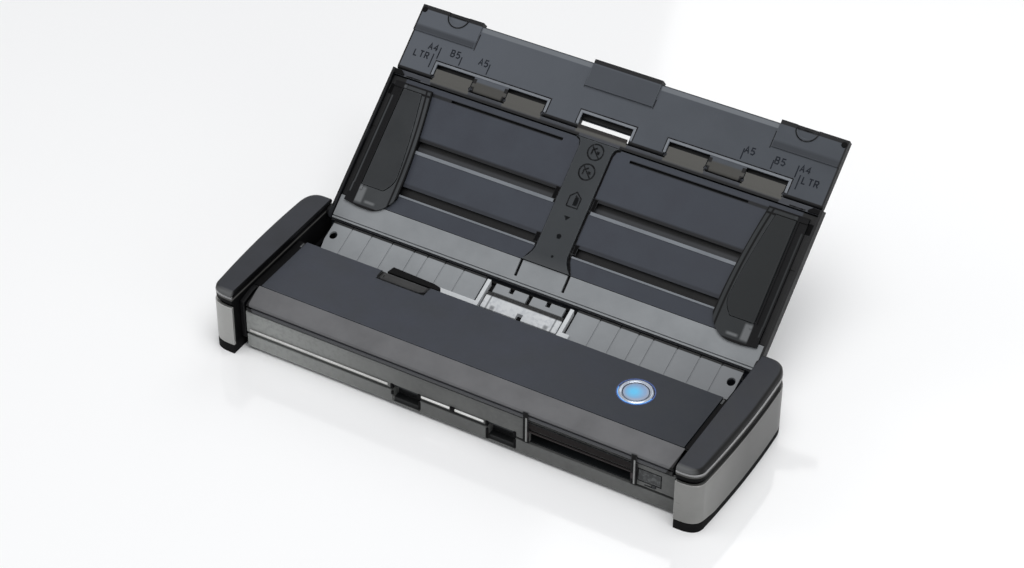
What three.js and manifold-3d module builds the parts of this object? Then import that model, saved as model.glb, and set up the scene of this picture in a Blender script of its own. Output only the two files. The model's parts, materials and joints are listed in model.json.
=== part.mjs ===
// Portable document scanner, standing open: a long low body between two end caps, a paper tray
// that folds up from the rear edge, and an extension that folds out of the tray's end.
// Millimetres, +X along the body, +Y to the rear, +Z up.
import * as THREE from 'three';
import { mergeVertices } from 'three/addons/utils/BufferGeometryUtils.js';
import Module from 'manifold-3d';

const wasm = await Module();
wasm.setup();

// Paper widths that the side guides are set to, from the middle of the path
const paperHalfWidth = 108; // the widest paper
const guideSlack = 7.4; // the guides at rest stand this far outside the widest paper
const cardHalfWidth = 35.4; // the narrowest setting
const paperRoom = 19.5; // from the widest paper to the end caps

// Body: its length follows the paper that passes between the end caps
const bodyDepth = 95;
const bodyHeight = 40;
const capWidth = 15.8; // one end cap, from its inner face to its widest point
const plateWidth = 15; // its top plate, which stands back from the side panel
const panelDrop = 6; // the flat top panel lies this far below the end caps
const frontSetback = 7.5; // front wall and fascia, set back behind the end caps
const bevelDepth = 12; // the sloped band before the flat top panel
const clearance = 0.3; // between pieces that don't move apart
const fineGap = 0.1; // where a piece is set back from its neighbour's face
const wall = 2;
const floorZ = 1.8; // underside of the bottom cover above the desk
const overrun = 1; // how far a cut passes the face that it opens

// Paper path
const exitZ = 9.7; // top of the lower fascia, where paper leaves
const pathGap = 1.2;
const guideWall = 1.2;
const guideInset = 11.2; // from the body's inner end to the paper guides
const bedInset = 6; // from the body's inner end to the feed bed
const bedGap = 3.4; // between the bed's rear edge and the tray's hinge line
const bedDrop = 2.63; // bed's rear edge below the hinge line
const bedLip = 2.5; // the top panel overhangs the bed's front edge by this much
// Places along the path, as shares of half the body's depth
const exitRollerShare = -0.604;
const bendShare = -0.2505; // where the sloped bed's line meets the flat path
const sensorRearShare = -0.248;
const retardRollerShare = 0.105;
const feedRollerShare = 0.154;
const bedFrontShare = 0.2526;
const motorShare = 0.59;

// Tray and extension
const trayTilt = THREE.MathUtils.degToRad(39);
const trayThickness = 5.7;
const trayLength = 85.6;
const trayTail = 3; // tray beyond its hinge axis
const traySideWall = 1.4;
const traySkin = 1;
const hingeInset = 4.2; // hinge line before the body's rear
const pivotBeyond = 2.4; // extension's pivot line beyond the tray's end
const extensionReach = 36; // from its pivot to its tip
const extensionInset = 1.35; // its ends within the tray's sides
const barrelRadius = 2.1; // round edge of the extension, about its pivot line

const innerX = paperHalfWidth + paperRoom;
const bodyLength = 2 * (innerX + capWidth);
const guideStroke = paperHalfWidth + guideSlack - cardHalfWidth;
const unitX = innerX - clearance;
const guideX = unitX - guideInset;
const bedX = unitX - bedInset;
const trayX = unitX - clearance / 2;
const extensionX = trayX - extensionInset;
const halfDepth = bodyDepth / 2;
const frontY = frontSetback - halfDepth;
const hingeY = halfDepth - hingeInset;
const bedRearY = hingeY - bedGap;
const bedFrontY = bedFrontShare * halfDepth;
const panelFrontY = frontY + bevelDepth;
const panelRearY = bedFrontY + bedLip;
const panelZ = bodyHeight - panelDrop;
const hingeZ = bodyHeight - trayThickness;
const bedRearZ = hingeZ - bedDrop;
const floorTopZ = floorZ + wall;
const extensionPivotU = trayLength + pivotBeyond;
const extensionPivotV = barrelRadius + fineGap - trayThickness;

// Geometry helpers
const mergeTolerance = 1e-5;
const bodyGroup = new THREE.Group();
const coverGroup = new THREE.Group();
const trayGroup = new THREE.Group();

function solid(geometry, matrix) {
  const plain = new THREE.BufferGeometry();
  const source = geometry.index ? geometry.toNonIndexed() : geometry;
  plain.setAttribute('position', source.getAttribute('position').clone());
  if (matrix) plain.applyMatrix4(matrix);
  const merged = mergeVertices(plain, mergeTolerance);
  const corners = merged.index.array;
  const triangles = [];
  for (let i = 0; i < corners.length; i += 3) {
    const [a, b, c] = [corners[i], corners[i + 1], corners[i + 2]];
    if (a !== b && b !== c && c !== a) triangles.push(a, b, c);
  }
  const vertProperties = new Float32Array(merged.getAttribute('position').array);
  const triVerts = new Uint32Array(triangles);
  return new wasm.Manifold(new wasm.Mesh({ numProp: 3, vertProperties, triVerts }));
}

function joined(first, ...rest) {
  return rest.reduce((sum, next) => sum.add(next), first);
}

function cut(first, ...rest) {
  return rest.reduce((sum, next) => sum.subtract(next), first);
}

function block(x0, x1, y0, y1, z0, z1) {
  const box = new THREE.BoxGeometry(Math.abs(x1 - x0), y1 - y0, z1 - z0);
  box.translate((x0 + x1) / 2, (y0 + y1) / 2, (z0 + z1) / 2);
  return solid(box);
}

function outline(points) {
  return new THREE.Shape(points.map(([a, b]) => new THREE.Vector2(a, b)));
}

// An outline in Y and Z, carried from x0 to x1
function prismX(shape, x0, x1) {
  const geometry = new THREE.ExtrudeGeometry(shape, { depth: x1 - x0, bevelEnabled: false });
  const turn = new THREE.Matrix4().makeBasis(
    new THREE.Vector3(0, 1, 0),
    new THREE.Vector3(0, 0, 1),
    new THREE.Vector3(1, 0, 0),
  );
  turn.setPosition(x0, 0, 0);
  return solid(geometry, turn);
}

// An outline in X and Y, carried from z0 to z1
function prismZ(shape, z0, z1) {
  const geometry = new THREE.ExtrudeGeometry(shape, { depth: z1 - z0, bevelEnabled: false });
  geometry.translate(0, 0, z0);
  return solid(geometry);
}

const fineRound = { radius: 2, sides: 12 };
const midRound = { radius: 6.5, sides: 20 };
const wideSides = 32;

function roundSides(radius) {
  if (radius <= fineRound.radius) return fineRound.sides;
  return radius <= midRound.radius ? midRound.sides : wideSides;
}

function rodX(radius, x0, x1, y, z) {
  const rod = new THREE.CylinderGeometry(radius, radius, Math.abs(x1 - x0), roundSides(radius));
  rod.rotateZ(Math.PI / 2);
  rod.translate((x0 + x1) / 2, y, z);
  return solid(rod);
}

function rodY(radius, x, y0, y1, z) {
  const rod = new THREE.CylinderGeometry(radius, radius, y1 - y0, roundSides(radius));
  rod.translate(x, (y0 + y1) / 2, z);
  return solid(rod);
}

function rodZ(radius, x, y, z0, z1) {
  const rod = new THREE.CylinderGeometry(radius, radius, z1 - z0, roundSides(radius));
  rod.rotateX(Math.PI / 2);
  rod.translate(x, y, (z0 + z1) / 2);
  return solid(rod);
}

// A turned piece about a vertical line: profile points are [radius, z]
function turnedZ(profile, x, y) {
  const points = profile.map(([r, z]) => new THREE.Vector2(r, z));
  const lathe = new THREE.LatheGeometry(points, wideSides);
  lathe.rotateX(Math.PI / 2);
  lathe.translate(x, y, 0);
  return solid(lathe);
}

function toGeometry(shape) {
  const mesh = shape.getMesh();
  const geometry = new THREE.BufferGeometry();
  geometry.setAttribute('position', new THREE.BufferAttribute(mesh.vertProperties, 3));
  geometry.setIndex(new THREE.BufferAttribute(mesh.triVerts, 1));
  return geometry;
}

function mirrored(geometry) {
  const copy = geometry.clone();
  copy.scale(-1, 1, 1);
  const index = copy.index.array;
  for (let i = 0; i < index.length; i += 3) {
    [index[i + 1], index[i + 2]] = [index[i + 2], index[i + 1]];
  }
  return copy;
}

function addForm(group, name, geometry, material) {
  const mesh = new THREE.Mesh(geometry, material.clone());
  mesh.geometry.computeVertexNormals();
  mesh.name = name;
  group.add(mesh);
}

function addPiece(group, name, shape, material) {
  addForm(group, name, toGeometry(shape), material);
}

function addMirrored(group, name, shape, material) {
  addForm(group, name, mirrored(toGeometry(shape)), material);
}

// A right-hand piece, and its mirror image on the left
function addPair(group, name, shape, material) {
  addPiece(group, `right_${name}`, shape, material);
  addMirrored(group, `left_${name}`, shape, material);
}

function finish(color, roughness, metalness) {
  return new THREE.MeshStandardMaterial({ color, roughness, metalness });
}

const slate = finish(0x3f424c, 0.5, 0.1);
const darkPlastic = finish(0x2b2d31, 0.6, 0);
const black = finish(0x141416, 0.7, 0);
const greyPlastic = finish(0x8c8f92, 0.5, 0);
const bevelGrey = finish(0x6b6b6e, 0.45, 0.1);
const satinMetal = finish(0x9a9a98, 0.35, 0.8);
const brightMetal = finish(0xc8c8c6, 0.25, 0.9);
const rubber = finish(0x1a1a1a, 0.9, 0);
const whitePlastic = finish(0xe4e6e6, 0.4, 0);
const glass = finish(0x9fb4b8, 0.05, 0);
const circuit = finish(0x2f6b3f, 0.6, 0.1);
const blueLight = finish(0x3d8fd8, 0.3, 0);

// End caps: a plan outline with a bowed outer side, measured outwards from the inner face
const capBow = 2.2; // the front corner, in from the widest point
const frontFlat = 3.5; // straight front edge, before it rounds away
const frontRound = 8;
const rearRound = 13;
const rearFlat = 5;
const rearBow = 0.5;
const bowCrown = 1.05;
const capSkin = 1.6;
const footHeight = 5.4;
const footSide = 3.3; // the side panel reaches down to this height behind the front corner
const footSlopeNear = 6; // its lower edge slopes down between these, from the front
const footSlopeFar = 16;
const capPlate = 2.8; // thickness of the dark top plate
const capBevel = 2.2;
const bevelSegments = 4;
const trimHeight = 1.3;
const trimInset = 0.3;
const ribHeight = 2.9; // dark rib under the bright trim
const ribInset = 0.5;
const panelShadow = 2.2; // open gap between the rib and the side panel
const pivotPin = 1.6;
const pivotInset = 1.5; // front cover's pivots behind the front wall's face
const coverPivotY = frontY + pivotInset;
const coverPivotZ = footHeight + clearance * 2 + pivotPin + wall / 2;
const curveSteps = 8;

function capOutline(inset, startX, reach = capWidth) {
  const width = reach - inset;
  const depth = halfDepth - inset;
  const shape = new THREE.Shape();
  shape.moveTo(startX, -depth);
  shape.lineTo(frontFlat, -depth);
  shape.quadraticCurveTo(width - capBow, -depth, width - capBow, frontRound - depth);
  shape.quadraticCurveTo(width + bowCrown, 0, width - rearBow, depth - rearRound);
  shape.quadraticCurveTo(width - rearBow, depth, rearFlat, depth);
  shape.lineTo(startX, depth);
  const points = shape.getPoints(curveSteps);
  return new THREE.Shape(points.map((p) => new THREE.Vector2(p.x + innerX, p.y)));
}

function capRing(outerInset, innerInset, z0, z1) {
  const outer = prismZ(capOutline(outerInset, 0), z0, z1);
  return cut(outer, prismZ(capOutline(innerInset, -overrun), z0 - overrun, z1 + overrun));
}

function endCaps() {
  const plateZ = bodyHeight - capPlate;
  const trimZ = plateZ - clearance - trimHeight;
  const ribTop = trimZ - clearance;
  const ribLow = ribTop - ribHeight;
  const panelTop = ribLow - panelShadow;
  const frameTop = plateZ - clearance;
  const frameInset = capSkin + clearance;
  const lowZ = footHeight + clearance;

  const slope = [[footSlopeNear - halfDepth, footHeight], [footSlopeFar - halfDepth, footSide]];
  const rebate = prismX(outline([
    ...slope, [bodyDepth, footSide], [bodyDepth, bodyHeight], [slope[0][0], bodyHeight],
  ]), innerX, bodyLength);
  const foot = cut(
    prismZ(capOutline(0, clearance), 0, footHeight),
    capRing(-overrun, capSkin + clearance, footSide - overrun, lowZ).intersect(rebate),
  );
  addPair(bodyGroup, 'foot', foot, rubber);

  const shell = joined(
    prismZ(capOutline(frameInset, 0), lowZ, frameTop),
    prismZ(capOutline(ribInset, 0), ribLow, ribTop),
  );
  const frame = cut(
    shell,
    prismZ(capOutline(frameInset + wall, wall), lowZ - overrun, frameTop - wall),
    rodX(pivotPin + clearance, innerX - overrun, innerX + wall + overrun, hingeY, hingeZ),
    rodX(pivotPin + clearance, innerX - overrun, innerX + wall + overrun, coverPivotY, coverPivotZ),
  );
  addPair(bodyGroup, 'end_cap', frame, black);

  const sideLow = slope.map(([y, z]) => [y, z + clearance]);
  const panelZone = prismX(outline([
    [-bodyDepth, lowZ], ...sideLow, [bodyDepth, footSide + clearance], [bodyDepth, bodyHeight],
    [-bodyDepth, bodyHeight],
  ]), innerX - overrun, bodyLength);
  const side = capRing(0, capSkin, footSide, panelTop).intersect(panelZone);
  addPair(bodyGroup, 'side_panel', side, satinMetal);
  addPair(bodyGroup, 'trim', capRing(trimInset, capSkin, trimZ, trimZ + trimHeight), brightMetal);

  const plate = new THREE.ExtrudeGeometry(capOutline(0, -capBevel * 2, plateWidth), {
    depth: capPlate,
    bevelThickness: capBevel,
    bevelSize: capBevel,
    bevelOffset: -capBevel,
    bevelSegments,
  });
  plate.translate(0, 0, plateZ - capBevel);
  const plan = block(innerX, bodyLength, -bodyDepth, bodyDepth, plateZ, bodyHeight);
  addPair(bodyGroup, 'cap_top', solid(plate).intersect(plan), slate);
}

// The paper path: the sloped bed runs straight down until it meets the flat path to the front
const pathFlatZ = exitZ + clearance;
const bendY = bendShare * halfDepth;
const bedTilt = Math.atan2(bedRearZ - pathFlatZ, bedRearY - bendY);
const sensorRearY = sensorRearShare * halfDepth;
const sensorInset = 5; // from the ends of the paper guides
const sensorGap = 1.5; // between the exit roller and the sensors
const glassThickness = 1.2;
const sensorX = guideX - sensorInset;
const guideFrontY = frontY + wall + clearance;

function bedZ(y) {
  return bedRearZ - (bedRearY - y) * Math.tan(bedTilt);
}

// A slab that follows the bed's slope, between two heights over its surface
function bedSlab(x0, x1, y0, y1, low, high) {
  const points = [
    [y0, bedZ(y0) + low], [y1, bedZ(y1) + low], [y1, bedZ(y1) + high], [y0, bedZ(y0) + high],
  ];
  return prismX(outline(points), x0, x1);
}

// Driven rollers and their belts: each roller has two tyres, and stands a little out of the path
const shaftRadius = 1.1;
const rollerRise = 0.08;
const feedRoller = { radius: 6, tyreX: 12, tyreWidth: 12, pulley: 3.8 };
feedRoller.y = feedRollerShare * halfDepth;
feedRoller.z = bedZ(feedRoller.y) - (feedRoller.radius - rollerRise) / Math.cos(bedTilt);
const exitRoller = { radius: 3, tyreX: 50, tyreWidth: 12, pulley: 1.9 };
exitRoller.y = exitRollerShare * halfDepth;
exitRoller.z = pathFlatZ + rollerRise - exitRoller.radius;
const sensorFrontY = exitRoller.y + exitRoller.radius + sensorGap;
const motorShaft = { radius: 1.2, pulley: 4, y: motorShare * halfDepth };
const motorGap = 1.2; // between the motor and the floor
const motorHeadroom = 2.5; // under the bed, over the motor's middle
const motorLength = 30;
const motorTopZ = bedZ(motorShaft.y) - guideWall - motorHeadroom;
const motorRadius = (motorTopZ - floorTopZ - motorGap) / 2;
motorShaft.z = motorTopZ - motorRadius;
const beltInset = 9.5; // from the body's inner end to the inner belt's near edge
const beltX = unitX - beltInset;
const beltWidth = 1.6;
const beltPitch = 3; // between the two belts
const beltThickness = 0.8;
const motorEnd = beltX - beltPitch;
const sideWall = 2.2; // bottom cover's side walls
const sideWallX = unitX - sideWall;
const sideWallTop = 21;
const armWall = 2.6; // front cover's side skirts and arms
const armRadius = 2.2;
const sideArmX = unitX - armWall;
const coverInnerX = sideArmX - clearance;
const sideWallFrontY = coverPivotY + armRadius + clearance * 2;

// Front details
const pocketInner = 19.5;
const pocketOuter = 36;
const pocketDepth = 5.2;
// Tops of the pockets and the card slot, as shares of the front wall's height
const pocketTopShare = 0.197;
const slotTopShare = 0.489;
const fasciaX = coverInnerX - fineGap;
const exitGap = 1.6;
const slotInset = 23.3; // card slot, from the front wall's right end
const slotWidth = 57; // between its two cheeks
const slotRight = coverInnerX - slotInset;
const slotLeft = slotRight - slotWidth;
const lipZ = exitZ + exitGap; // bottom of the front wall

// Rear sockets and switch
const rearInset = 2.5; // rear panel's inner face before the body's rear
const rearPanelY = halfDepth - rearInset;
const rearPanelWall = 2.2;
const usbInset = 43.2; // sockets and switch, from the body's left inner end
const jackInset = 27.2;
const sliderInset = 65.2;
const usb = { x: usbInset - unitX, z: 9, width: 9, height: 3.6, depth: 9 };
const jack = { x: jackInset - unitX, z: 9.5, width: 10, height: 9, depth: 9, bore: 2.6, pin: 0.9 };
const slider = { x: sliderInset - unitX, z: 10.5, width: 5, height: 3, travel: 4 };

function bottomCover() {
  const ribSpacing = 50;
  const ribCount = 4;
  const ribWall = 1.2;
  const ribHeight = 0.6;
  const ribDepth = 16;
  const floor = block(-unitX, unitX, guideFrontY, rearPanelY - clearance, floorZ, floorTopZ);
  const sides = [];
  for (const side of [-1, 1]) {
    sides.push(block(side * sideWallX, side * unitX, sideWallFrontY, rearPanelY - clearance,
      floorZ, sideWallTop));
  }
  const ribs = [];
  for (let i = 0; i < ribCount; i += 1) {
    const x = (i - (ribCount - 1) / 2) * ribSpacing;
    ribs.push(block(x, x + ribWall, 0, ribDepth, floorZ + wall / 2, floorTopZ + ribHeight));
  }
  const armClear = block(-unitX - overrun, unitX + overrun, guideFrontY - overrun,
    sideWallFrontY, floorTopZ, sideWallTop);
  const bores = [feedRoller, exitRoller].map((roller) => (
    rodX(shaftRadius + clearance, -bodyLength / 2, bodyLength / 2, roller.y, roller.z)
  ));
  return cut(joined(floor, ...sides, ...ribs), armClear, ...bores);
}

function frontFascia() {
  const pocketFloorZ = 5;
  const sillZ = 2.6; // the face is cut down to here before each pocket
  const pocketWall = 1.5;
  const backY = frontY + wall - fineGap;
  const face = block(-fasciaX, fasciaX, frontY, backY, floorZ, exitZ);
  const pieces = [face];
  const holes = [];
  for (const side of [-1, 1]) {
    pieces.push(block(side * (pocketInner - pocketWall), side * (pocketOuter + pocketWall),
      frontY, frontY + pocketDepth + pocketWall, floorTopZ + clearance, exitZ));
    holes.push(block(side * pocketInner, side * pocketOuter, frontY - overrun,
      frontY + pocketDepth, pocketFloorZ, exitZ + overrun));
    holes.push(block(side * pocketInner, side * pocketOuter, frontY - overrun,
      frontY + wall / 2, sillZ, exitZ + overrun));
  }
  return cut(joined(...pieces), ...holes);
}

function lowerGuide() {
  const roundClear = clearance * 2;
  const rearY = bedFrontY - clearance;
  const top = pathFlatZ - clearance / 2;
  const points = [
    [guideFrontY, exitZ], [sensorFrontY, top], [bendY, top], [rearY, bedZ(rearY)],
    [rearY, bedZ(rearY) - guideWall], [bendY + guideWall / 2, top - guideWall],
    [guideFrontY, exitZ - guideWall],
  ];
  const sheet = prismX(outline(points), -guideX, guideX);
  const windows = [
    block(-sensorX - clearance, sensorX + clearance, sensorFrontY - clearance,
      sensorRearY + clearance, 0, top + overrun),
  ];
  for (const side of [-1, 1]) {
    windows.push(
      block(side * (pocketInner - wall), side * (pocketOuter + wall), guideFrontY - overrun,
        frontY + pocketDepth + wall, 0, exitZ + overrun),
      block(side * (tyreInner(exitRoller) - roundClear),
        side * (tyreOuter(exitRoller) + roundClear),
        exitRoller.y - exitRoller.radius - roundClear,
        exitRoller.y + exitRoller.radius + roundClear, 0, top + overrun),
      block(side * (tyreInner(feedRoller) - roundClear),
        side * (tyreOuter(feedRoller) + roundClear),
        feedRoller.y - feedRoller.radius - roundClear, bedFrontY, 0, bodyHeight),
    );
  }
  return cut(sheet, ...windows);
}

function sensors() {
  const lowerTop = pathFlatZ - clearance / 2;
  const lowerGlassZ = lowerTop - glassThickness;
  const upperGlassZ = lowerTop + pathGap + clearance * 2;
  const upperHeight = 6.8;
  const inset = 0.5;
  const lower = block(-sensorX, sensorX, sensorFrontY, sensorRearY, floorTopZ + clearance,
    lowerGlassZ - clearance);
  addPiece(bodyGroup, 'lower_sensor', lower, darkPlastic);
  const lowerGlass = block(-sensorX + inset, sensorX - inset, sensorFrontY + inset,
    sensorRearY - inset, lowerGlassZ, lowerTop);
  addPiece(bodyGroup, 'lower_glass', lowerGlass, glass);
  const upperGlass = block(-sensorX + inset, sensorX - inset, sensorFrontY + inset,
    sensorRearY - inset, upperGlassZ, upperGlassZ + glassThickness);
  addPiece(coverGroup, 'upper_glass', upperGlass, glass);
  const upperZ = upperGlassZ + glassThickness + clearance;
  const upper = block(-sensorX, sensorX, sensorFrontY, sensorRearY, upperZ, upperZ + upperHeight);
  addPiece(coverGroup, 'upper_sensor', upper, darkPlastic);
}

function tyreInner(roller) {
  return roller.tyreX - roller.tyreWidth / 2;
}

function tyreOuter(roller) {
  return roller.tyreX + roller.tyreWidth / 2;
}

// The two tyres of a driven roller, or of the one that runs against it
function tyres(roller, radius, y, z) {
  return [-1, 1].map((side) => (
    rodX(radius, side * tyreInner(roller), side * tyreOuter(roller), y, z)
  ));
}

function rollerShaft(roller, pulleyRows) {
  const end = unitX - clearance * 2;
  const axle = rodX(shaftRadius, -end, end, roller.y, roller.z);
  const pulleys = pulleyRows.map((row) => {
    const x = beltX + row * beltPitch;
    return rodX(roller.pulley, x, x + beltWidth, roller.y, roller.z);
  });
  return joined(axle, ...tyres(roller, roller.radius, roller.y, roller.z), ...pulleys);
}

// A belt's outline around two pulleys, at an offset from their faces
function beltOutline(a, b, offset) {
  const length = Math.hypot(b.y - a.y, b.z - a.z);
  const heading = Math.atan2(b.z - a.z, b.y - a.y);
  const lean = Math.acos((a.pulley - b.pulley) / length);
  const points = [];
  for (const [pulley, start, span] of [
    [a, heading + lean, 2 * Math.PI - 2 * lean],
    [b, heading - lean, 2 * lean],
  ]) {
    for (let i = 0; i <= 2 * curveSteps; i += 1) {
      const angle = start + (span * i) / (2 * curveSteps);
      const radius = pulley.pulley + offset;
      points.push([pulley.y + radius * Math.cos(angle), pulley.z + radius * Math.sin(angle)]);
    }
  }
  return outline(points);
}

function belt(a, b, row) {
  const x = beltX + row * beltPitch;
  return cut(
    prismX(beltOutline(a, b, clearance + beltThickness), x, x + beltWidth),
    prismX(beltOutline(a, b, clearance), x - overrun, x + beltWidth + overrun),
  );
}

function drive() {
  addPiece(bodyGroup, 'feed_roller', rollerShaft(feedRoller, [0, 1]), rubber);
  addPiece(bodyGroup, 'exit_roller', rollerShaft(exitRoller, [1]), rubber);
  addPiece(bodyGroup, 'feed_belt', belt(feedRoller, motorShaft, 0), black);
  addPiece(bodyGroup, 'exit_belt', belt(exitRoller, feedRoller, 1), black);

  const rotorDepth = 10;
  const boreDepth = 15;
  const bore = motorShaft.radius + clearance;
  const { y, z } = motorShaft;
  const body = cut(
    rodX(motorRadius, motorEnd - motorLength, motorEnd, y, z),
    rodX(bore, motorEnd - boreDepth, motorEnd + overrun, y, z),
  );
  addPiece(bodyGroup, 'motor', body, satinMetal);
  const rotor = joined(
    rodX(motorShaft.radius, motorEnd - rotorDepth, beltX + beltWidth, y, z),
    rodX(motorShaft.pulley, beltX, beltX + beltWidth, y, z),
  );
  addPiece(bodyGroup, 'motor_pulley', rotor, brightMetal);
}

function mainBoard() {
  const boardZ = floorTopZ + clearance;
  const thickness = 1.6;
  const chipHeight = 1.8;
  const top = boardZ + thickness;
  const boardRear = rearPanelY - wall;
  const boardDepth = 25.2;
  const boardFront = boardRear - boardDepth;
  const boardGap = 14.7; // between the board and the motor
  const right = motorEnd - motorLength - boardGap;
  const chipSize = 14;
  const chipGap = 12;
  const chipCount = 5;
  const sheet = block(-guideX, right, boardFront, boardRear, boardZ, top);
  const chips = [];
  for (let i = 0; i < chipCount; i += 1) {
    const x = right - chipGap - i * (chipSize + chipGap);
    const y = boardFront + wall + (i % 2) * wall;
    chips.push(block(x - chipSize, x, y, y + chipSize, top - clearance, top + chipHeight));
  }
  addPiece(bodyGroup, 'main_board', joined(sheet, ...chips), circuit);

  const seat = top + clearance;
  const mouthY = rearPanelY + rearPanelWall / 2;
  const usbShell = cut(
    block(usb.x - usb.width / 2, usb.x + usb.width / 2, mouthY - usb.depth, mouthY, seat,
      usb.z + usb.height / 2 + wall / 2),
    block(usb.x - usb.width / 2 + wall / 2, usb.x + usb.width / 2 - wall / 2,
      mouthY - usb.depth + wall, mouthY + overrun, usb.z - usb.height / 2,
      usb.z + usb.height / 2),
  );
  addPiece(bodyGroup, 'usb_socket', usbShell, brightMetal);
  const jackBody = cut(
    block(jack.x - jack.width / 2, jack.x + jack.width / 2, mouthY - jack.depth, mouthY, seat,
      jack.z + jack.height / 2),
    rodY(jack.bore, jack.x, mouthY - jack.depth + wall, mouthY + overrun, jack.z),
  );
  const contact = rodY(jack.pin, jack.x, mouthY - jack.depth + wall / 2, mouthY, jack.z);
  addPiece(bodyGroup, 'power_jack', joined(jackBody, contact), black);
}

function rearPanel() {
  const sweep = Math.hypot(trayThickness, trayTail);
  const top = hingeZ - sweep - clearance;
  const rearY = rearPanelY + rearPanelWall;
  const holes = [
    block(usb.x - usb.width / 2 - clearance, usb.x + usb.width / 2 + clearance,
      rearPanelY - overrun, rearY + overrun, floorTopZ + clearance,
      usb.z + usb.height / 2 + wall / 2 + clearance),
    block(jack.x - jack.width / 2 - clearance, jack.x + jack.width / 2 + clearance,
      rearPanelY - overrun, rearY + overrun, floorTopZ + clearance,
      jack.z + jack.height / 2 + clearance),
    block(slider.x - slider.width / 2 - slider.travel - clearance,
      slider.x + slider.width / 2 + clearance, rearPanelY - overrun, rearY + overrun,
      slider.z - slider.height / 2 - clearance, slider.z + slider.height / 2 + clearance),
  ];
  return cut(block(-unitX, unitX, rearPanelY, rearY, floorZ, top), ...holes);
}

function autoStartSwitch() {
  const stem = block(slider.x - slider.width / 2, slider.x + slider.width / 2,
    rearPanelY - wall, rearPanelY + rearPanelWall, slider.z - slider.height / 2,
    slider.z + slider.height / 2);
  const keeper = block(slider.x - slider.width, slider.x + slider.width,
    rearPanelY - wall, rearPanelY - clearance, slider.z - slider.height,
    slider.z + slider.height);
  return joined(stem, keeper);
}

// The feed bed, with a recessed module at its centre
const moduleX = 27;
const grooveShares = [0.334, 0.429, 0.517, 0.586, 0.697, 0.803, 0.903]; // of the bed's half length
const grooveWidth = 0.7;
const grooveDepth = 0.5;
const endHoleInset = 3.5;
const endChamfer = 3.5; // taken off the bed's front corners
const endHoleRadius = 2.2;
// Places along the bed, as shares of its depth from the front edge
const moduleShare = 0.358;
const flapShare = 0.43;
const footRearShare = 0.466;
const chamferShare = 0.6;
const endHoleShare = 0.735;
const padShare = 0.774;
const armRearShare = 0.932;

function bedY(share) {
  return bedFrontY + share * (bedRearY - bedFrontY);
}

const moduleFrontY = bedY(moduleShare);

function feedBed() {
  const flangeDrop = 5;
  const flangeWall = 1.4;
  const sheet = bedSlab(-bedX, bedX, bedFrontY, bedRearY, -guideWall, 0);
  const flangeTop = bedRearZ - guideWall / 2;
  const flange = block(-bedX, bedX, bedRearY - flangeWall, bedRearY, flangeTop - flangeDrop,
    flangeTop);
  const cuts = [
    block(-moduleX, moduleX, moduleFrontY, bedRearY + overrun, 0, bodyHeight),
  ];
  for (const side of [-1, 1]) {
    cuts.push(rodZ(endHoleRadius, side * (bedX - endHoleInset), bedY(endHoleShare), 0,
      bodyHeight));
    for (const share of grooveShares) {
      const x = side * share * bedX;
      cuts.push(bedSlab(x - grooveWidth / 2, x + grooveWidth / 2, bedFrontY - overrun,
        bedRearY + overrun, -grooveDepth, grooveDepth));
    }
    const corner = outline([
      [side * bedX, bedY(chamferShare)], [side * (bedX - endChamfer), bedFrontY],
      [side * (bedX - endChamfer), bedFrontY - overrun],
      [side * (bedX + overrun), bedFrontY - overrun], [side * (bedX + overrun), bedY(chamferShare)],
    ]);
    cuts.push(prismZ(corner, 0, bodyHeight));
  }
  return cut(joined(sheet, flange), ...cuts);
}

function feedModule() {
  const edge = moduleX - clearance;
  const rear = bedRearY;
  const sink = 2.4;
  const baseWall = 1.6;
  const stopWall = 1.2;
  const base = joined(
    bedSlab(-edge, edge, moduleFrontY + clearance, rear, -sink - baseWall, -sink),
    bedSlab(-edge, edge, rear - stopWall, rear, -sink - baseWall, -sink / 2),
  );
  addPiece(bodyGroup, 'feed_module', base, black);

  const padInner = 1.2;
  const flapReach = 1.8; // the flap is this much wider than the two pads
  const padOuter = 20.5;
  const padFront = bedY(padShare);
  const padRear = rear - stopWall - clearance;
  const notch = 1.6;
  const padNotch = 2.6;
  const seat = clearance - sink;
  const pad = cut(
    bedSlab(padInner, padOuter, padFront, padRear, seat, 0),
    bedSlab((padInner + padOuter - padNotch) / 2, (padInner + padOuter + padNotch) / 2,
      padRear - padNotch, padRear + overrun, -sink, overrun),
  );
  addPair(bodyGroup, 'feed_pad', pad, greyPlastic);

  const flapX = padOuter + flapReach;
  const flapFront = bedY(flapShare);
  const flapRise = 0.4;
  const flap = cut(
    bedSlab(-flapX, flapX, flapFront, padFront - clearance * 2, seat, flapRise),
    bedSlab(-notch, notch, flapFront - overrun, flapFront + notch * 2, -sink, overrun),
  );
  addPiece(bodyGroup, 'separation_flap', flap, whitePlastic);

  const armGap = 1.1;
  const armWidth = 2.2;
  const armRise = 1.6;
  const leftFoot = 26.6; // each arm's foot, sideways from its inner face
  const rightFoot = 6.6;
  const armInner = flapX + armGap;
  const armOuter = armInner + armWidth;
  const footRear = bedY(footRearShare);
  const footFront = moduleFrontY + clearance * 2;
  const armRear = bedY(armRearShare);
  for (const [name, side, foot] of [
    ['left_feed_arm', -1, leftFoot], ['right_feed_arm', 1, rightFoot],
  ]) {
    const arm = bedSlab(Math.min(side * armInner, side * armOuter),
      Math.max(side * armInner, side * armOuter), footFront, armRear, seat, armRise);
    const ends = [side * armInner, side * (armInner + foot)].sort((a, b) => a - b);
    const footBar = bedSlab(ends[0], ends[1], footFront, footRear, clearance, armRise);
    addPiece(bodyGroup, name, joined(arm, footBar), whitePlastic);
  }
}

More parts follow.
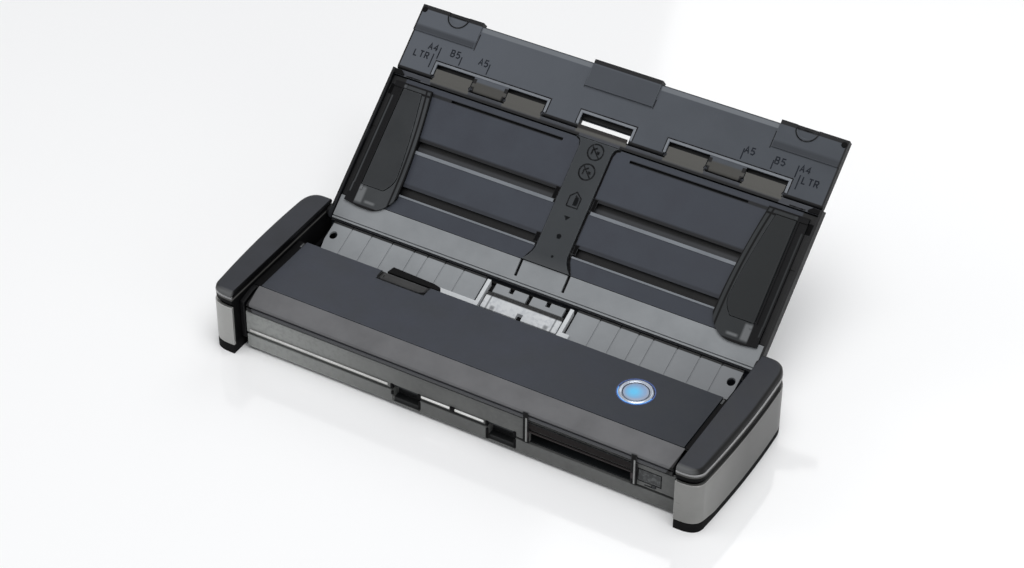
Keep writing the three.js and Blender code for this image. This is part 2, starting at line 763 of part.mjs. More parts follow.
// Front cover: top panel, bevel, front wall and what they carry; it tilts forward on two arms
const buttonInset = 43.8; // from the panel's right end
const buttonSetback = 18.4; // from the panel's rear edge
const buttonX = unitX - buttonInset;
const buttonY = panelRearY - buttonSetback;
const ringRadius = 9;
const buttonRadius = 6.6;
const leverInset = 52.2; // from the panel's left end
const leverWidth = 29;
const leverDepth = 7;
const leverLeft = leverInset - unitX;
const leverRight = leverLeft + leverWidth;
const leverFrontY = panelRearY - leverDepth;
const bevelDrop = 3.1; // the sloped band falls this far to its front edge
const bandGap = 1.7;
const bandHeight = 4.2; // grooved band under the sloped one
const bevelLowZ = panelZ - bevelDrop;
const bandTopZ = bevelLowZ - bandGap;
const bandLowZ = bandTopZ - bandHeight;
const pocketTopZ = lipZ + pocketTopShare * (bandLowZ - lipZ);
const slotTopZ = lipZ + slotTopShare * (bandLowZ - lipZ);
const bandReach = 1; // the grooved band stands this far before the front wall
const bandGroove = 1.2;
const bevelEndGap = 1.2; // open slit at both ends of the sloped band
const plateInset = 5; // the flat top panel drops to a low step this far from its ends
const endStep = 1.2;

function topCover() {
  const skirtTop = panelZ - wall / 2;
  const skirtLow = sideWallTop + clearance * 2;
  const armRear = coverPivotY + armRadius;
  const armFront = coverPivotY - armRadius;
  const rearLip = 3;
  const panel = block(-unitX, unitX, panelFrontY, panelRearY, panelZ - wall, panelZ);
  const lip = block(-bedX, bedX, panelRearY - wall, panelRearY, panelZ - wall - rearLip, panelZ);
  const pieces = [panel, lip];
  for (const side of [-1, 1]) {
    const inner = side * sideArmX;
    const outer = side * unitX;
    pieces.push(
      block(inner, outer, armFront, panelRearY, skirtLow, skirtTop),
      block(inner, outer, armFront, armRear, coverPivotZ, skirtTop),
      rodX(armRadius, inner, outer, coverPivotY, coverPivotZ),
      rodX(pivotPin, inner, side * (innerX + wall), coverPivotY, coverPivotZ),
    );
  }
  const cuts = [
    rodZ(ringRadius + clearance, buttonX, buttonY, 0, bodyHeight),
    block(leverLeft, leverRight, leverFrontY, panelRearY + overrun, 0, bodyHeight),
  ];
  const slope = (panelZ - bevelLowZ) / (panelFrontY - armFront);
  const trim = outline([
    [armFront - overrun, panelZ + overrun], [panelFrontY, panelZ + overrun],
    [panelFrontY, panelZ - clearance],
    [armFront - overrun, panelZ - clearance - slope * (panelFrontY - armFront + overrun)],
  ]);
  cuts.push(prismX(trim, -bodyLength, bodyLength));
  for (const side of [-1, 1]) {
    cuts.push(block(side * (unitX - plateInset), side * (unitX + overrun), -bodyDepth, bodyDepth,
      panelZ - endStep, bodyHeight));
  }
  return cut(joined(...pieces), ...cuts);
}

function frontBevel() {
  const lowY = frontY - bandReach;
  const inner = frontY + wall;
  const topY = panelFrontY - clearance;
  const bandLip = 1.05; // the lips above and below the band's groove
  const points = [
    [topY, panelZ], [frontY - bandReach / 2, bevelLowZ], [lowY, bevelLowZ - bandReach],
    [lowY, bandTopZ], [lowY + bandGroove, bandTopZ],
    [lowY + bandGroove, bandTopZ - bandLip], [lowY, bandTopZ - bandLip],
    [lowY, bandLowZ + bandLip], [lowY + bandGroove, bandLowZ + bandLip],
    [lowY + bandGroove, bandLowZ], [inner, bandLowZ], [inner, bevelLowZ - wall],
    [topY, panelZ - wall],
  ];
  const end = coverInnerX - bevelEndGap;
  return prismX(outline(points), -end, end);
}

function frontWall() {
  const inner = frontY + wall - clearance;
  const cheekGap = clearance * 2;
  const holes = [
    block(slotLeft, slotRight, frontY - overrun, inner + overrun, lipZ - overrun, slotTopZ),
  ];
  for (const side of [-1, 1]) {
    holes.push(block(side * pocketInner, side * pocketOuter, frontY - overrun, inner + overrun,
      lipZ - overrun, pocketTopZ));
  }
  const lampHole = rodY(lampRadius + clearance, lampX, frontY - overrun, inner + overrun, lampZ);
  const face = block(-coverInnerX, coverInnerX, frontY, inner, lipZ, bandLowZ - cheekGap / 2);
  return cut(face, lampHole, ...holes);
}

const lampInset = 11.3; // from the front wall's right end
const lampX = coverInnerX - lampInset;
const lampRise = 2; // above the exit gap
const lampZ = lipZ + lampRise;
const lampRadius = 1.1;
const stripRise = 1.5; // above the exit gap
const lipStripZ = lipZ + stripRise;
const lipStripHeight = 1.3;
const lipStripDepth = 0.6;
const stripInset = 2.3; // from the front wall's left end
const lipStripEnd = coverInnerX - stripInset;

function frontTrim() {
  const front = frontY - clearance - lipStripDepth;
  const back = frontY - clearance;
  const strip = (x0, x1) => block(x0, x1, front, back, lipStripZ, lipStripZ + lipStripHeight);
  addPiece(coverGroup, 'exit_lip_left', strip(-lipStripEnd, -pocketOuter - wall), brightMetal);
  const centre = pocketInner - lipStripHeight;
  const notch = lipStripHeight;
  const centreStrip = cut(
    strip(-centre, centre),
    block(-notch, notch, front - overrun, back + overrun, lipStripZ + notch / 2,
      lipStripZ + lipStripHeight + overrun),
  );
  addPiece(coverGroup, 'exit_lip_centre', centreStrip, brightMetal);
  const lamp = rodY(lampRadius, lampX, frontY - clearance, frontY + wall, lampZ);
  addPiece(coverGroup, 'power_lamp', lamp, whitePlastic);
}

// Card slot surround: two curved cheeks, a band over the mouth and a shelf behind it
function cardSlot() {
  const cheek = 3;
  const cheekReach = 1.3;
  const topZ = bandLowZ - clearance * 2;
  const shelfWall = 1.4;
  const front = frontY - clearance - cheekReach;
  const back = frontY - clearance;
  const browGap = 1;
  const browLow = slotTopZ + shelfWall + browGap; // plain band over the mouth
  const pieces = [
    block(slotLeft - cheek, slotRight + cheek, back - lipStripDepth, back, browLow, topZ),
  ];
  for (const [edge, away] of [[slotLeft, -cheek], [slotRight, cheek]]) {
    pieces.push(block(edge, edge + away, front, back, lipZ, topZ));
    pieces.push(block(edge, edge + away, front, frontY - bandReach - clearance, topZ - overrun,
      bevelLowZ));
  }
  pieces.push(block(slotLeft - cheek / 2, slotRight + cheek / 2, front + cheekReach / 2, back,
    slotTopZ, slotTopZ + shelfWall));
  return joined(...pieces);
}

function upperGuide() {
  const low = pathFlatZ + pathGap;
  const mouthLift = 3.2;
  const rearY = bedFrontY - clearance;
  const lift = pathGap + clearance;
  const inner = frontY + wall;
  const mouthDepth = 6; // the guide flares over this much of its rear
  const mouthY = bedFrontY - mouthDepth;
  const points = [
    [inner, low], [bendY - wall, low], [mouthY, bedZ(mouthY) + lift],
    [rearY, bedZ(rearY) + mouthLift + lift],
    [rearY, bedZ(rearY) + mouthLift + lift + guideWall],
    [mouthY - overrun, bedZ(mouthY - overrun) + lift + guideWall],
    [bendY - wall, low + guideWall], [inner, low + guideWall],
  ];
  const sheet = prismX(outline(points), -guideX, guideX);
  const { y, z } = retardRoller();
  const cheekX = 19;
  const cheekWall = 2;
  const cheekTop = panelZ - wall - clearance;
  const cheekDepth = retardRadius;
  const rootLift = lift + guideWall / 2;
  const top = low + guideWall;
  const pieces = [sheet];
  const pinch = pinchRoller();
  const pinchEnd = tyreOuter(exitRoller) + wall * 2;
  for (const side of [-1, 1]) {
    const ends = [side * cheekX, side * (cheekX + cheekWall)].sort((a, b) => a - b);
    pieces.push(prismX(outline([
      [y - cheekDepth, bedZ(y - cheekDepth) + rootLift],
      [y + cheekDepth, bedZ(y + cheekDepth) + rootLift],
      [y + cheekDepth, cheekTop], [y - cheekDepth, cheekTop],
    ]), ends[0], ends[1]));
    pieces.push(block(side * (pinchEnd - wall), side * pinchEnd,
      pinch.y - wall, pinch.y + wall, top - guideWall / 2, pinch.z + wall));
  }
  const windows = [
    block(-sensorX - clearance, sensorX + clearance, sensorFrontY - clearance,
      sensorRearY + clearance, 0, top + overrun),
    block(-cheekX, cheekX, y - retardRadius - clearance * 2, bedFrontY, 0, cheekTop - wall),
    block(slotLeft - wall, slotRight + wall, inner - overrun, frontY + pocketDepth + wall, 0,
      top + overrun),
    rodX(retardPin + clearance, -guideX, guideX, y, z),
    rodX(pinchPin + clearance, -guideX, guideX, pinch.y, pinch.z),
  ];
  for (const side of [-1, 1]) {
    windows.push(block(side * (tyreInner(exitRoller) - wall / 2),
      side * (tyreOuter(exitRoller) + wall / 2),
      pinch.y - pinch.radius - clearance, pinch.y + pinch.radius + clearance, 0,
      top + overrun));
  }
  return cut(joined(...pieces), ...windows);
}

const retardRadius = 4.5;
const retardPin = 1.2;
const retardContactY = retardRollerShare * halfDepth;
const retardGap = 0.75; // to the bed, for paper to pass
const pinchPin = 0.7;
const pinchRadius = 3.5;

function retardRoller() {
  const away = retardRadius + retardGap;
  const y = retardContactY - away * Math.sin(bedTilt);
  return { y, z: bedZ(retardContactY) + away * Math.cos(bedTilt), radius: retardRadius };
}

function pinchRoller() {
  const contact = exitRoller.z + exitRoller.radius;
  return { y: exitRoller.y, z: contact + clearance + pinchRadius, radius: pinchRadius };
}

function pinchRollers() {
  const retard = retardRoller();
  const retardHalf = 16;
  const retardReach = 20.5;
  addPiece(coverGroup, 'retard_roller', joined(
    rodX(retard.radius, -retardHalf, retardHalf, retard.y, retard.z),
    rodX(retardPin, -retardReach, retardReach, retard.y, retard.z),
  ), rubber);
  const pinch = pinchRoller();
  const reach = tyreOuter(exitRoller) + wall * 2;
  addPiece(coverGroup, 'exit_pinch_roller', joined(
    rodX(pinchPin, -reach, reach, pinch.y, pinch.z),
    ...tyres(exitRoller, pinch.radius, pinch.y, pinch.z),
  ), rubber);
}

function startButton() {
  const ringRise = 0.7;
  const ringDrop = 2;
  const glowWidth = 0.9;
  const glowRise = 0.3;
  const lowZ = panelZ - ringDrop;
  const ring = turnedZ([
    [buttonRadius + clearance, lowZ], [ringRadius, lowZ], [ringRadius, panelZ + glowRise],
    [ringRadius - glowWidth, panelZ + ringRise], [buttonRadius + clearance, panelZ + glowRise],
    [buttonRadius + clearance, lowZ],
  ], buttonX, buttonY);
  addPiece(coverGroup, 'button_ring', ring, brightMetal);

  const flange = 1;
  const stem = 2;
  const domeRise = 0.9;
  const travelRoom = 1.2;
  const flangeZ = lowZ - travelRoom;
  const steps = 4;
  const profile = [[0, flangeZ - stem], [stem, flangeZ - stem], [stem, flangeZ - flange],
    [buttonRadius + flange, flangeZ - flange], [buttonRadius + flange, flangeZ],
    [buttonRadius, flangeZ], [buttonRadius, panelZ]];
  for (let i = 1; i <= steps; i += 1) {
    const angle = (i / steps) * (Math.PI / 2);
    profile.push([buttonRadius * Math.cos(angle), panelZ + domeRise * Math.sin(angle)]);
  }
  profile[profile.length - 1][0] = 0;
  addPiece(coverGroup, 'start_button', turnedZ(profile, buttonX, buttonY), blueLight);
}

function openLever() {
  const thickness = 1.8;
  const nose = thickness / 2;
  const axisY = leverFrontY + clearance + nose;
  const axisZ = panelZ - wall / 2 - clearance;
  const x0 = leverLeft + clearance;
  const x1 = leverRight - clearance;
  const gripDrop = 1.1;
  const plate = block(x0, x1, axisY, panelRearY - clearance, axisZ - nose, axisZ + nose);
  const grip = block(x0, x1, panelRearY - wall, panelRearY - clearance,
    axisZ - nose - gripDrop, axisZ);
  const scoopRadius = 7.2;
  const scoopRise = 0.3; // deepest point of the finger scoop, above the pivot line
  const scoop = rodX(scoopRadius, x0 + wall, x1 - wall, (axisY + panelRearY) / 2,
    axisZ + scoopRadius + scoopRise);
  return cut(joined(rodX(nose, x0, x1, axisY, axisZ), plate, grip), scoop);
}

function coverPieces() {
  addPiece(coverGroup, 'top_cover', topCover(), slate);
  addPiece(coverGroup, 'front_bevel', frontBevel(), bevelGrey);
  addPiece(coverGroup, 'front_wall', frontWall(), bevelGrey);
  addPiece(coverGroup, 'card_slot', cardSlot(), black);
  addPiece(coverGroup, 'upper_guide', upperGuide(), darkPlastic);
  addPiece(coverGroup, 'open_lever', openLever(), darkPlastic);
  frontTrim();
  pinchRollers();
  startButton();
}

// Tray, in its own directions: X along the body, Y from the hinge to the tip, Z out of its face
const rackThickness = 0.9;
const sheetThickness = 0.8;
const stepHeight = 0.3;
const rackLow = traySkin + clearance - trayThickness;
const rackTop = rackLow + rackThickness;
const sheetLow = rackTop + clearance;
const sheetTop = sheetLow + sheetThickness;
const stepTop = sheetTop + stepHeight;
const stripTop = stepTop;
const stripLow = sheetLow - clearance;
const stripFar = 11;
const pinionU = 48.5;
const pinionBore = 1.5;
const upperChannelWidth = 7;
const lowerChannelU = 23.25;
const lowerChannelWidth = 5.5;
const channels = [[pinionU, upperChannelWidth], [lowerChannelU, lowerChannelWidth]]
  .map(([middle, width]) => [middle - width / 2, middle + width / 2]);
const bridgeHalf = 9.3;
const bridgeFoot = 14; // half width where the bridge meets the light strip
const bridgeHead = 13.8; // half width where it meets the tray's end wall
const footCurve = 9;
const headCurve = 5;
const bridgeRise = 1.4; // above the panels
const bridgeTop = sheetTop + bridgeRise;
const slitWidth = 1.6; // slits in the light strip, in line with the bridge's foot
const liningX = trayX - traySideWall - clearance;
const channelInset = 4.35;
const channelOuter = liningX - channelInset;
const headWall = 3.1; // the tray's end wall
const headU = trayLength - headWall;
const extensionTop = extensionPivotV + barrelRadius;
const lugWidth = 20.8;
const lugShare = 0.557; // middle of each lug, as a share of the extension's half length
const lugInner = extensionX * lugShare - lugWidth / 2;
const lugOuter = lugInner + lugWidth;
const notchWidth = 23.4; // on both sides of each lug
const middleNotch = 15; // half width of the notch at the middle
const tongueGap = 0.6; // between the tray's tongues and the ends of the notches
const tongueTip = 4.2; // the tongues reach this far past the pivot line
const tongueLipGap = 0.6; // from their tips to the thin lip in each notch
const lipHeight = 0.9;
const gripReach = 0.4; // the thin tongue at the middle reaches this far, over a fingertip's room
const gripThickness = 0.8;
const gripSlope = 0.6; // undercut of its edge
const gripSill = 0.7; // the sill under it ends this far before the pivot line
const gripLip = 4.4; // and the lip of the middle notch starts this far past it
const shellLip = 0.6; // thin lip on the tray's end, under the extension
const shellLipHeight = 0.7;
const windowRadius = 1.15; // round openings over the pins, at the ends of the notches
const windowSetback = 0.4;
const extensionPin = 1;
const extensionPinReach = 4;
const extensionSlot = 6.6; // depth of the notches past the pivot line

// The notches in the extension's hinged edge, each from one X to another
const notches = [
  [-middleNotch, middleNotch],
  [lugInner - notchWidth, lugInner], [lugOuter, lugOuter + notchWidth],
  [-lugInner, notchWidth - lugInner], [-lugOuter - notchWidth, -lugOuter],
];

function isMiddle([x0, x1]) {
  return x0 < 0 && x1 > 0;
}

function pinWindows() {
  return notches.filter((notch) => !isMiddle(notch)).flat().map((x) => (
    rodZ(windowRadius, x, extensionPivotU - windowSetback, extensionPivotV + extensionPin, overrun)
  ));
}

// What the tray holds in the extension's notches: a thin open grip at the middle, and tongues
// with the hinge pins in the others
function trayTongue([x0, x1], low, headTop) {
  const [left, right] = [x0 + tongueGap, x1 - tongueGap];
  const root = headU + wall;
  const gripU = extensionPivotU + gripReach;
  if (isMiddle([x0, x1])) {
    return joined(
      prismX(outline([
        [root, headTop - gripThickness], [gripU - gripSlope, headTop - gripThickness],
        [gripU, headTop], [root, headTop],
      ]), left, right),
      block(left, right, root, extensionPivotU - gripSill, low, low + traySkin),
    );
  }
  return joined(
    block(left, right, root, extensionPivotU + tongueTip, extensionPivotV - barrelRadius,
      extensionTop),
    rodX(extensionPin, x0 - extensionPinReach, x1 + extensionPinReach, extensionPivotU,
      extensionPivotV),
  );
}

function trayShell() {
  const low = -trayThickness;
  const stubLug = 3;
  const headTop = -1;
  const pieces = [
    block(-trayX, trayX, -trayTail, trayLength, low, low + traySkin),
    block(-trayX, trayX, -trayTail, -trayTail + wall, low, stripLow - clearance),
    block(-trayX, trayX, headU, trayLength, low, headTop),
    block(-trayX, trayX, headU, trayLength + shellLip, low, low + shellLipHeight),
    rodZ(pinionBore, 0, pinionU, low + traySkin / 2, rackTop),
  ];
  pieces.push(...notches.map((notch) => trayTongue(notch, low, headTop)));
  for (const side of [-1, 1]) {
    const inner = side * (trayX - traySideWall);
    pieces.push(
      block(inner, side * trayX, -trayTail, trayLength, low, 0),
      rodX(stubLug, inner, side * trayX, 0, 0),
      rodX(pivotPin, inner, side * (innerX + wall), 0, 0),
    );
  }
  const edge = outline([
    [-trayTail - overrun, low - overrun], [-trayTail + wall, low - overrun],
    [-trayTail - overrun, low + wall],
  ]);
  return cut(joined(...pieces), prismX(edge, -bodyLength, bodyLength), ...pinWindows());
}

function lowerStrip() {
  const near = clearance * 2 - trayTail;
  const edgeLine = 0.5; // thin groove along the near edge
  const edgeInset = 1;
  const strip = block(-liningX, liningX, near, stripFar, stripLow, stripTop);
  const slits = [-1, 1].map((side) => block(side * bridgeFoot - slitWidth / 2,
    side * bridgeFoot + slitWidth / 2, near + wall * 2, stripFar + overrun, stripLow - overrun,
    overrun));
  const line = block(-bodyLength, bodyLength, near + edgeInset, near + edgeInset + edgeLine,
    sheetLow, overrun);
  return cut(strip, line, ...slits);
}

// The bridge's outline, grown on all sides
function bridgePlan(grow) {
  const half = bridgeHalf + grow;
  const foot = bridgeFoot + grow;
  const head = bridgeHead + grow;
  const near = stripFar + clearance;
  const far = headU - clearance;
  const [low, high] = [near + grow, far - grow];
  const shape = new THREE.Shape();
  shape.moveTo(-foot, near - grow);
  shape.lineTo(foot, near - grow);
  shape.lineTo(foot, low);
  shape.quadraticCurveTo(half, low + footCurve / 2, half, low + footCurve);
  shape.lineTo(half, high - headCurve);
  shape.quadraticCurveTo(half, high, head, high);
  shape.lineTo(head, far + grow);
  shape.lineTo(-head, far + grow);
  shape.lineTo(-head, high);
  shape.quadraticCurveTo(-half, high, -half, high - headCurve);
  shape.lineTo(-half, low + footCurve);
  shape.quadraticCurveTo(-half, low + footCurve / 2, -foot, low);
  return new THREE.Shape(shape.getPoints(curveSteps));
}

function trayPanel() {
  const near = stripFar + clearance;
  const far = headU - clearance * 2;
  const grooveInset = 10.5; // from the bridge's side to the slot
  const grooveOffset = 3.3;
  const grooveLength = 68;
  const panelGroove = 1.2; // width of the slot
  const sheet = block(0, liningX, near, far, sheetLow, sheetTop);
  const step = block(0, liningX, channels[0][1], far, sheetLow, stepTop);
  const cuts = channels.map(([u0, u1]) => (
    block(0, channelOuter, u0, u1, sheetLow - overrun, overrun)
  ));
  cuts.push(
    block(bridgeHalf + grooveInset, bridgeHalf + grooveInset + grooveLength,
      far - grooveOffset - panelGroove, far - grooveOffset, sheetLow - overrun, overrun),
    prismZ(bridgePlan(clearance), sheetLow - overrun, overrun),
  );
  return cut(joined(sheet, step), ...cuts);
}

function trayBridge() {
  return prismZ(bridgePlan(0), sheetLow + clearance, bridgeTop);
}

// Rack and pinion that keep the two side guides centred
const toothModule = 1;
const pinionTeeth = 10;
const pressureAngle = THREE.MathUtils.degToRad(25);
const toothAddendum = 0.9;
const toothDedendum = 1.15;
const toothThinning = 0.4; // taken off each tooth's width
const pitchRadius = (toothModule * pinionTeeth) / 2;
const toothPitch = Math.PI * toothModule;
const rackBack = 2.4;

function involute(angle) {
  return Math.tan(angle) - angle;
}

function pinion() {
  const base = pitchRadius * Math.cos(pressureAngle);
  const root = pitchRadius - toothDedendum;
  const tip = pitchRadius + toothAddendum;
  const halfPitchAngle = (toothPitch - toothThinning) / (4 * pitchRadius);
  const steps = 4;
  const flank = [];
  for (let i = 0; i <= steps; i += 1) {
    const radius = Math.max(base, root) + ((tip - Math.max(base, root)) * i) / steps;
    const here = Math.acos(Math.min(1, base / radius));
    flank.push([radius, halfPitchAngle + involute(pressureAngle) - involute(here)]);
  }
  const rows = [[root, flank[0][1]], ...flank];
  const points = [];
  for (let tooth = 0; tooth < pinionTeeth; tooth += 1) {
    const middle = (Math.PI + 2 * Math.PI * tooth) / pinionTeeth;
    for (const [radius, half] of rows) {
      points.push([radius * Math.cos(middle - half), radius * Math.sin(middle - half)]);
    }
    for (const [radius, half] of [...rows].reverse()) {
      points.push([radius * Math.cos(middle + half), radius * Math.sin(middle + half)]);
    }
  }
  const turned = points.map(([a, b]) => [a, b + pinionU]);
  const gear = prismZ(outline(turned), rackLow, rackTop);
  return cut(gear, rodZ(pinionBore + clearance, 0, pinionU, rackLow - overrun, overrun));
}

// A guide's rack, measured away from the pinion's centre: side is -1 below it and 1 above it
function rackOutline(farX, side) {
  const lean = Math.tan(pressureAngle);
  const half = (toothPitch - toothThinning) / 4;
  const rootY = pitchRadius + toothDedendum;
  const tipY = pitchRadius - toothAddendum;
  const points = [[farX, rootY + rackBack], [farX, rootY]];
  const count = Math.ceil((guideStroke + pitchRadius) / toothPitch) + 1;
  const firstX = (count - 1) * toothPitch + toothPitch / 2;
  for (let i = 0; i < count + 1; i += 1) {
    const x = firstX - i * toothPitch;
    points.push(
      [x + half + toothDedendum * lean, rootY], [x + half - toothAddendum * lean, tipY],
      [x - half + toothAddendum * lean, tipY], [x - half - toothDedendum * lean, rootY],
    );
  }
  const nearX = firstX - count * toothPitch - toothPitch / 2;
  points.push([nearX, rootY], [nearX, rootY + rackBack]);
  return outline(points.map(([x, y]) => [x, pinionU + side * y]));
}

// Side guide: a carriage that slides across the tray, and a leaf that stands up on it
const flipX = paperHalfWidth + guideSlack; // the leaf turns about its outer edge
const carriageReach = 21.8; // from that edge inwards
const carriageInner = flipX - carriageReach;
const carriageNear = 7.6;
const carriageHeadRoom = 3.1; // from its far end to the tray's end wall
const carriageFar = headU - carriageHeadRoom;
const carriageLow = stripTop + clearance;
const carriageThickness = 1.3;
const carriageTop = carriageLow + carriageThickness;
const carriageMiddle = (carriageNear + carriageFar) / 2;
const heelInner = 9.4; // straight near edge, measured inwards from the flip axis
const heelOuter = 1.9;
const heelRise = 1.2;
const prowReach = 11; // how far up the tray the near corner is rounded
const prowFlat = 4;
const headTaper = 6; // the inner edge slopes out this far towards the far end
const railRoom = 3.15; // between the outer rail and the tray's side
const railOuter = liningX - railRoom;
const railThickness = 0.7;
const leafNear = 19.8;
const leafHeadRoom = 3.4; // from its far end to the carriage's
const leafFar = carriageFar - leafHeadRoom;
const leafHeel = 12.5; // leaf's width at its near end
const leafWidth = 17.1;
const leafBelly = 9; // where it is widest, from its near end
const leafHead = 10.6; // its width at the far end
const leafWaist = 16;
const flipBarrel = 0.85;
const flipAxisV = carriageLow + flipBarrel;
const flipPin = 0.5;
const flipPinLength = 2.6;
const legWidth = 2.4;

function carriagePlan() {
  const shape = new THREE.Shape();
  shape.moveTo(railOuter, carriageNear + heelRise);
  shape.lineTo(railOuter, carriageFar);
  shape.lineTo(carriageInner + headTaper, carriageFar);
  shape.quadraticCurveTo(carriageInner, carriageMiddle, carriageInner, carriageNear + prowReach);
  shape.quadraticCurveTo(carriageInner + prowFlat, carriageNear + heelRise, flipX - heelInner,
    carriageNear);
  shape.lineTo(flipX - heelOuter, carriageNear);
  return new THREE.Shape(shape.getPoints(curveSteps));
}

// The leaf's outline, grown on all sides but the one it turns about
function leafPlan(grow) {
  const near = leafNear - grow;
  const far = leafFar + grow;
  const wide = flipX - leafWidth - grow;
  const shape = new THREE.Shape();
  shape.moveTo(flipX, near);
  shape.lineTo(flipX, far);
  shape.lineTo(flipX - leafHead - grow, far);
  shape.quadraticCurveTo(flipX - leafWaist - grow, (near + far) / 2, wide, near + leafBelly);
  shape.quadraticCurveTo(wide, near + leafBelly / 2, flipX - leafHeel - grow, near);
  return new THREE.Shape(shape.getPoints(curveSteps));
}

function guideCarriage(side) {
  const railInner = flipX + flipBarrel + clearance;
  const legInner = carriageInner + wall;
  const legOuter = legInner + legWidth;
  const outerLeg = channelOuter - fineGap - legWidth;
  const rackEnd = outerLeg + legWidth;
  const legGap = clearance + fineGap;
  const knuckleTop = flipAxisV + flipBarrel;
  const plate = cut(
    prismZ(carriagePlan(), carriageLow, carriageTop),
    prismZ(leafPlan(clearance), carriageLow - overrun, overrun),
    block(flipX - overrun, railInner, leafNear - clearance, leafFar + clearance,
      carriageLow - overrun, overrun),
    block(railInner + wall / 2, railOuter + overrun, leafNear - clearance, leafFar + clearance,
      carriageLow + railThickness, overrun),
  );
  const pieces = [plate];
  for (const [u0, u1] of channels) {
    for (const x of [legInner, outerLeg]) {
      pieces.push(block(x, x + legWidth, u0 + legGap, u1 - legGap, rackTop - clearance,
        carriageLow + clearance));
    }
  }
  const rackRoot = pinionU + side * (pitchRadius + toothDedendum + clearance);
  const farFoot = pinionU - side * (pitchRadius - toothAddendum - clearance * 2);
  pieces.push(
    block(legInner, rackEnd, Math.min(rackRoot, farFoot), Math.max(rackRoot, farFoot), rackLow,
      rackTop),
    prismZ(rackOutline(legOuter, side), rackLow, rackTop),
  );
  for (const [u0, u1] of [
    [leafNear - clearance * 2 - flipPinLength, leafNear - clearance],
    [leafFar + clearance, leafFar + clearance * 2 + flipPinLength],
  ]) {
    pieces.push(block(flipX - flipBarrel, flipX + flipBarrel, u0, u1, carriageLow, knuckleTop));
  }
  const bore = rodY(flipPin + clearance, flipX, leafNear - flipPinLength - clearance,
    leafFar + flipPinLength + clearance, flipAxisV);
  return cut(joined(...pieces), bore);
}

function guidePlate() {
  return joined(
    prismZ(leafPlan(0), flipAxisV - flipBarrel, flipAxisV + flipBarrel),
    rodY(flipBarrel, flipX, leafNear, leafFar, flipAxisV),
    rodY(flipPin, flipX, leafNear - flipPinLength, leafFar + flipPinLength, flipAxisV),
  );
}

function extension() {
  const lowV = extensionPivotV - barrelRadius;
  const tipU = extensionPivotU + extensionReach;
  const slotU = extensionPivotU + extensionSlot;
  const blockReach = 15;
  const tabHalf = 20;
  const tabRise = 1; // the middle tab and the end blocks stand over the face
  const tabV = extensionTop + tabRise;
  const endBlock = 37.7;
  const endInner = extensionX - endBlock;
  const thumb = 6;
  const thumbInset = 22.7;
  const thumbX = extensionX - thumbInset;
  const edgeDrop = 2; // the tip edge lies this far in between the tab and the end blocks
  const pieces = [
    block(-extensionX, extensionX, extensionPivotU, tipU, lowV, extensionTop),
    rodX(barrelRadius, -extensionX, extensionX, extensionPivotU, extensionPivotV),
    block(-tabHalf, tabHalf, tipU - blockReach, tipU, lowV, tabV),
  ];
  const cuts = notches.map(([x0, x1]) => block(x0, x1, extensionPivotU - barrelRadius - overrun,
    slotU, lowV - overrun, tabV + overrun));
  for (const side of [-1, 1]) {
    pieces.push(block(side * endInner, side * extensionX, tipU - blockReach, tipU, lowV,
      tabV - clearance));
    cuts.push(
      rodZ(thumb, side * thumbX, tipU, extensionTop, tabV + overrun),
      block(side * tabHalf, side * endInner, tipU - edgeDrop, tipU + overrun, lowV - overrun,
        tabV + overrun),
    );
  }
  const boreX = lugOuter + notchWidth + extensionPinReach + clearance;
  cuts.push(rodX(extensionPin + clearance, -boreX, boreX, extensionPivotU, extensionPivotV));
  const lips = notches.map(([x0, x1]) => {
    const lipU = extensionPivotU + (isMiddle([x0, x1]) ? gripLip : tongueTip + tongueLipGap);
    const start = isMiddle([x0, x1]) ? lipU - lipHeight : lipU;
    return prismX(outline([
      [start, lowV], [slotU + overrun, lowV], [slotU + overrun, lowV + lipHeight],
      [lipU, lowV + lipHeight],
    ]), x0 - overrun, x1 + overrun);
  });
  return joined(cut(joined(...pieces), ...cuts, ...pinWindows()), ...lips);
}

function trayPieces() {
  addPiece(trayGroup, 'tray_shell', trayShell(), slate);
  addPiece(trayGroup, 'tray_strip', lowerStrip(), greyPlastic);
  addPair(trayGroup, 'tray_panel', trayPanel(), slate);
  addPiece(trayGroup, 'tray_bridge', trayBridge(), slate);
  addPiece(trayGroup, 'guide_pinion', pinion(), whitePlastic);
  addPiece(trayGroup, 'right_guide_carriage', guideCarriage(-1), darkPlastic);
  addMirrored(trayGroup, 'left_guide_carriage', guideCarriage(1), darkPlastic);
  addPair(trayGroup, 'guide_plate', guidePlate(), darkPlastic);
  addPiece(trayGroup, 'extension', extension(), slate);
}

endCaps();
addPiece(bodyGroup, 'bottom_cover', bottomCover(), black);
addPiece(bodyGroup, 'front_fascia', frontFascia(), bevelGrey);
addPiece(bodyGroup, 'lower_guide', lowerGuide(), darkPlastic);
sensors();
drive();
mainBoard();
addPiece(bodyGroup, 'rear_panel', rearPanel(), slate);
addPiece(bodyGroup, 'auto_start_switch', autoStartSwitch(), darkPlastic);
addPiece(bodyGroup, 'feed_bed', feedBed(), greyPlastic);
feedModule();
coverPieces();
trayPieces();
trayGroup.position.set(0, hingeY, hingeZ);
trayGroup.rotation.x = trayTilt;

// The origin is on the desk, under the middle of the open scanner
const tipReach = extensionPivotU + extensionReach;
const rearReach = hingeY + tipReach * Math.cos(trayTilt)
  + (barrelRadius - extensionPivotV) * Math.sin(trayTilt);
const group = new THREE.Group();
group.add(bodyGroup, coverGroup, trayGroup);
group.position.y = (halfDepth - rearReach) / 2;
export default group;
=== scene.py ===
"""Looks of the portable document scanner: materials, rounded edges, fine detail, light and camera."""

import json
import math

import bmesh
import bpy
from mathutils import Matrix, Vector


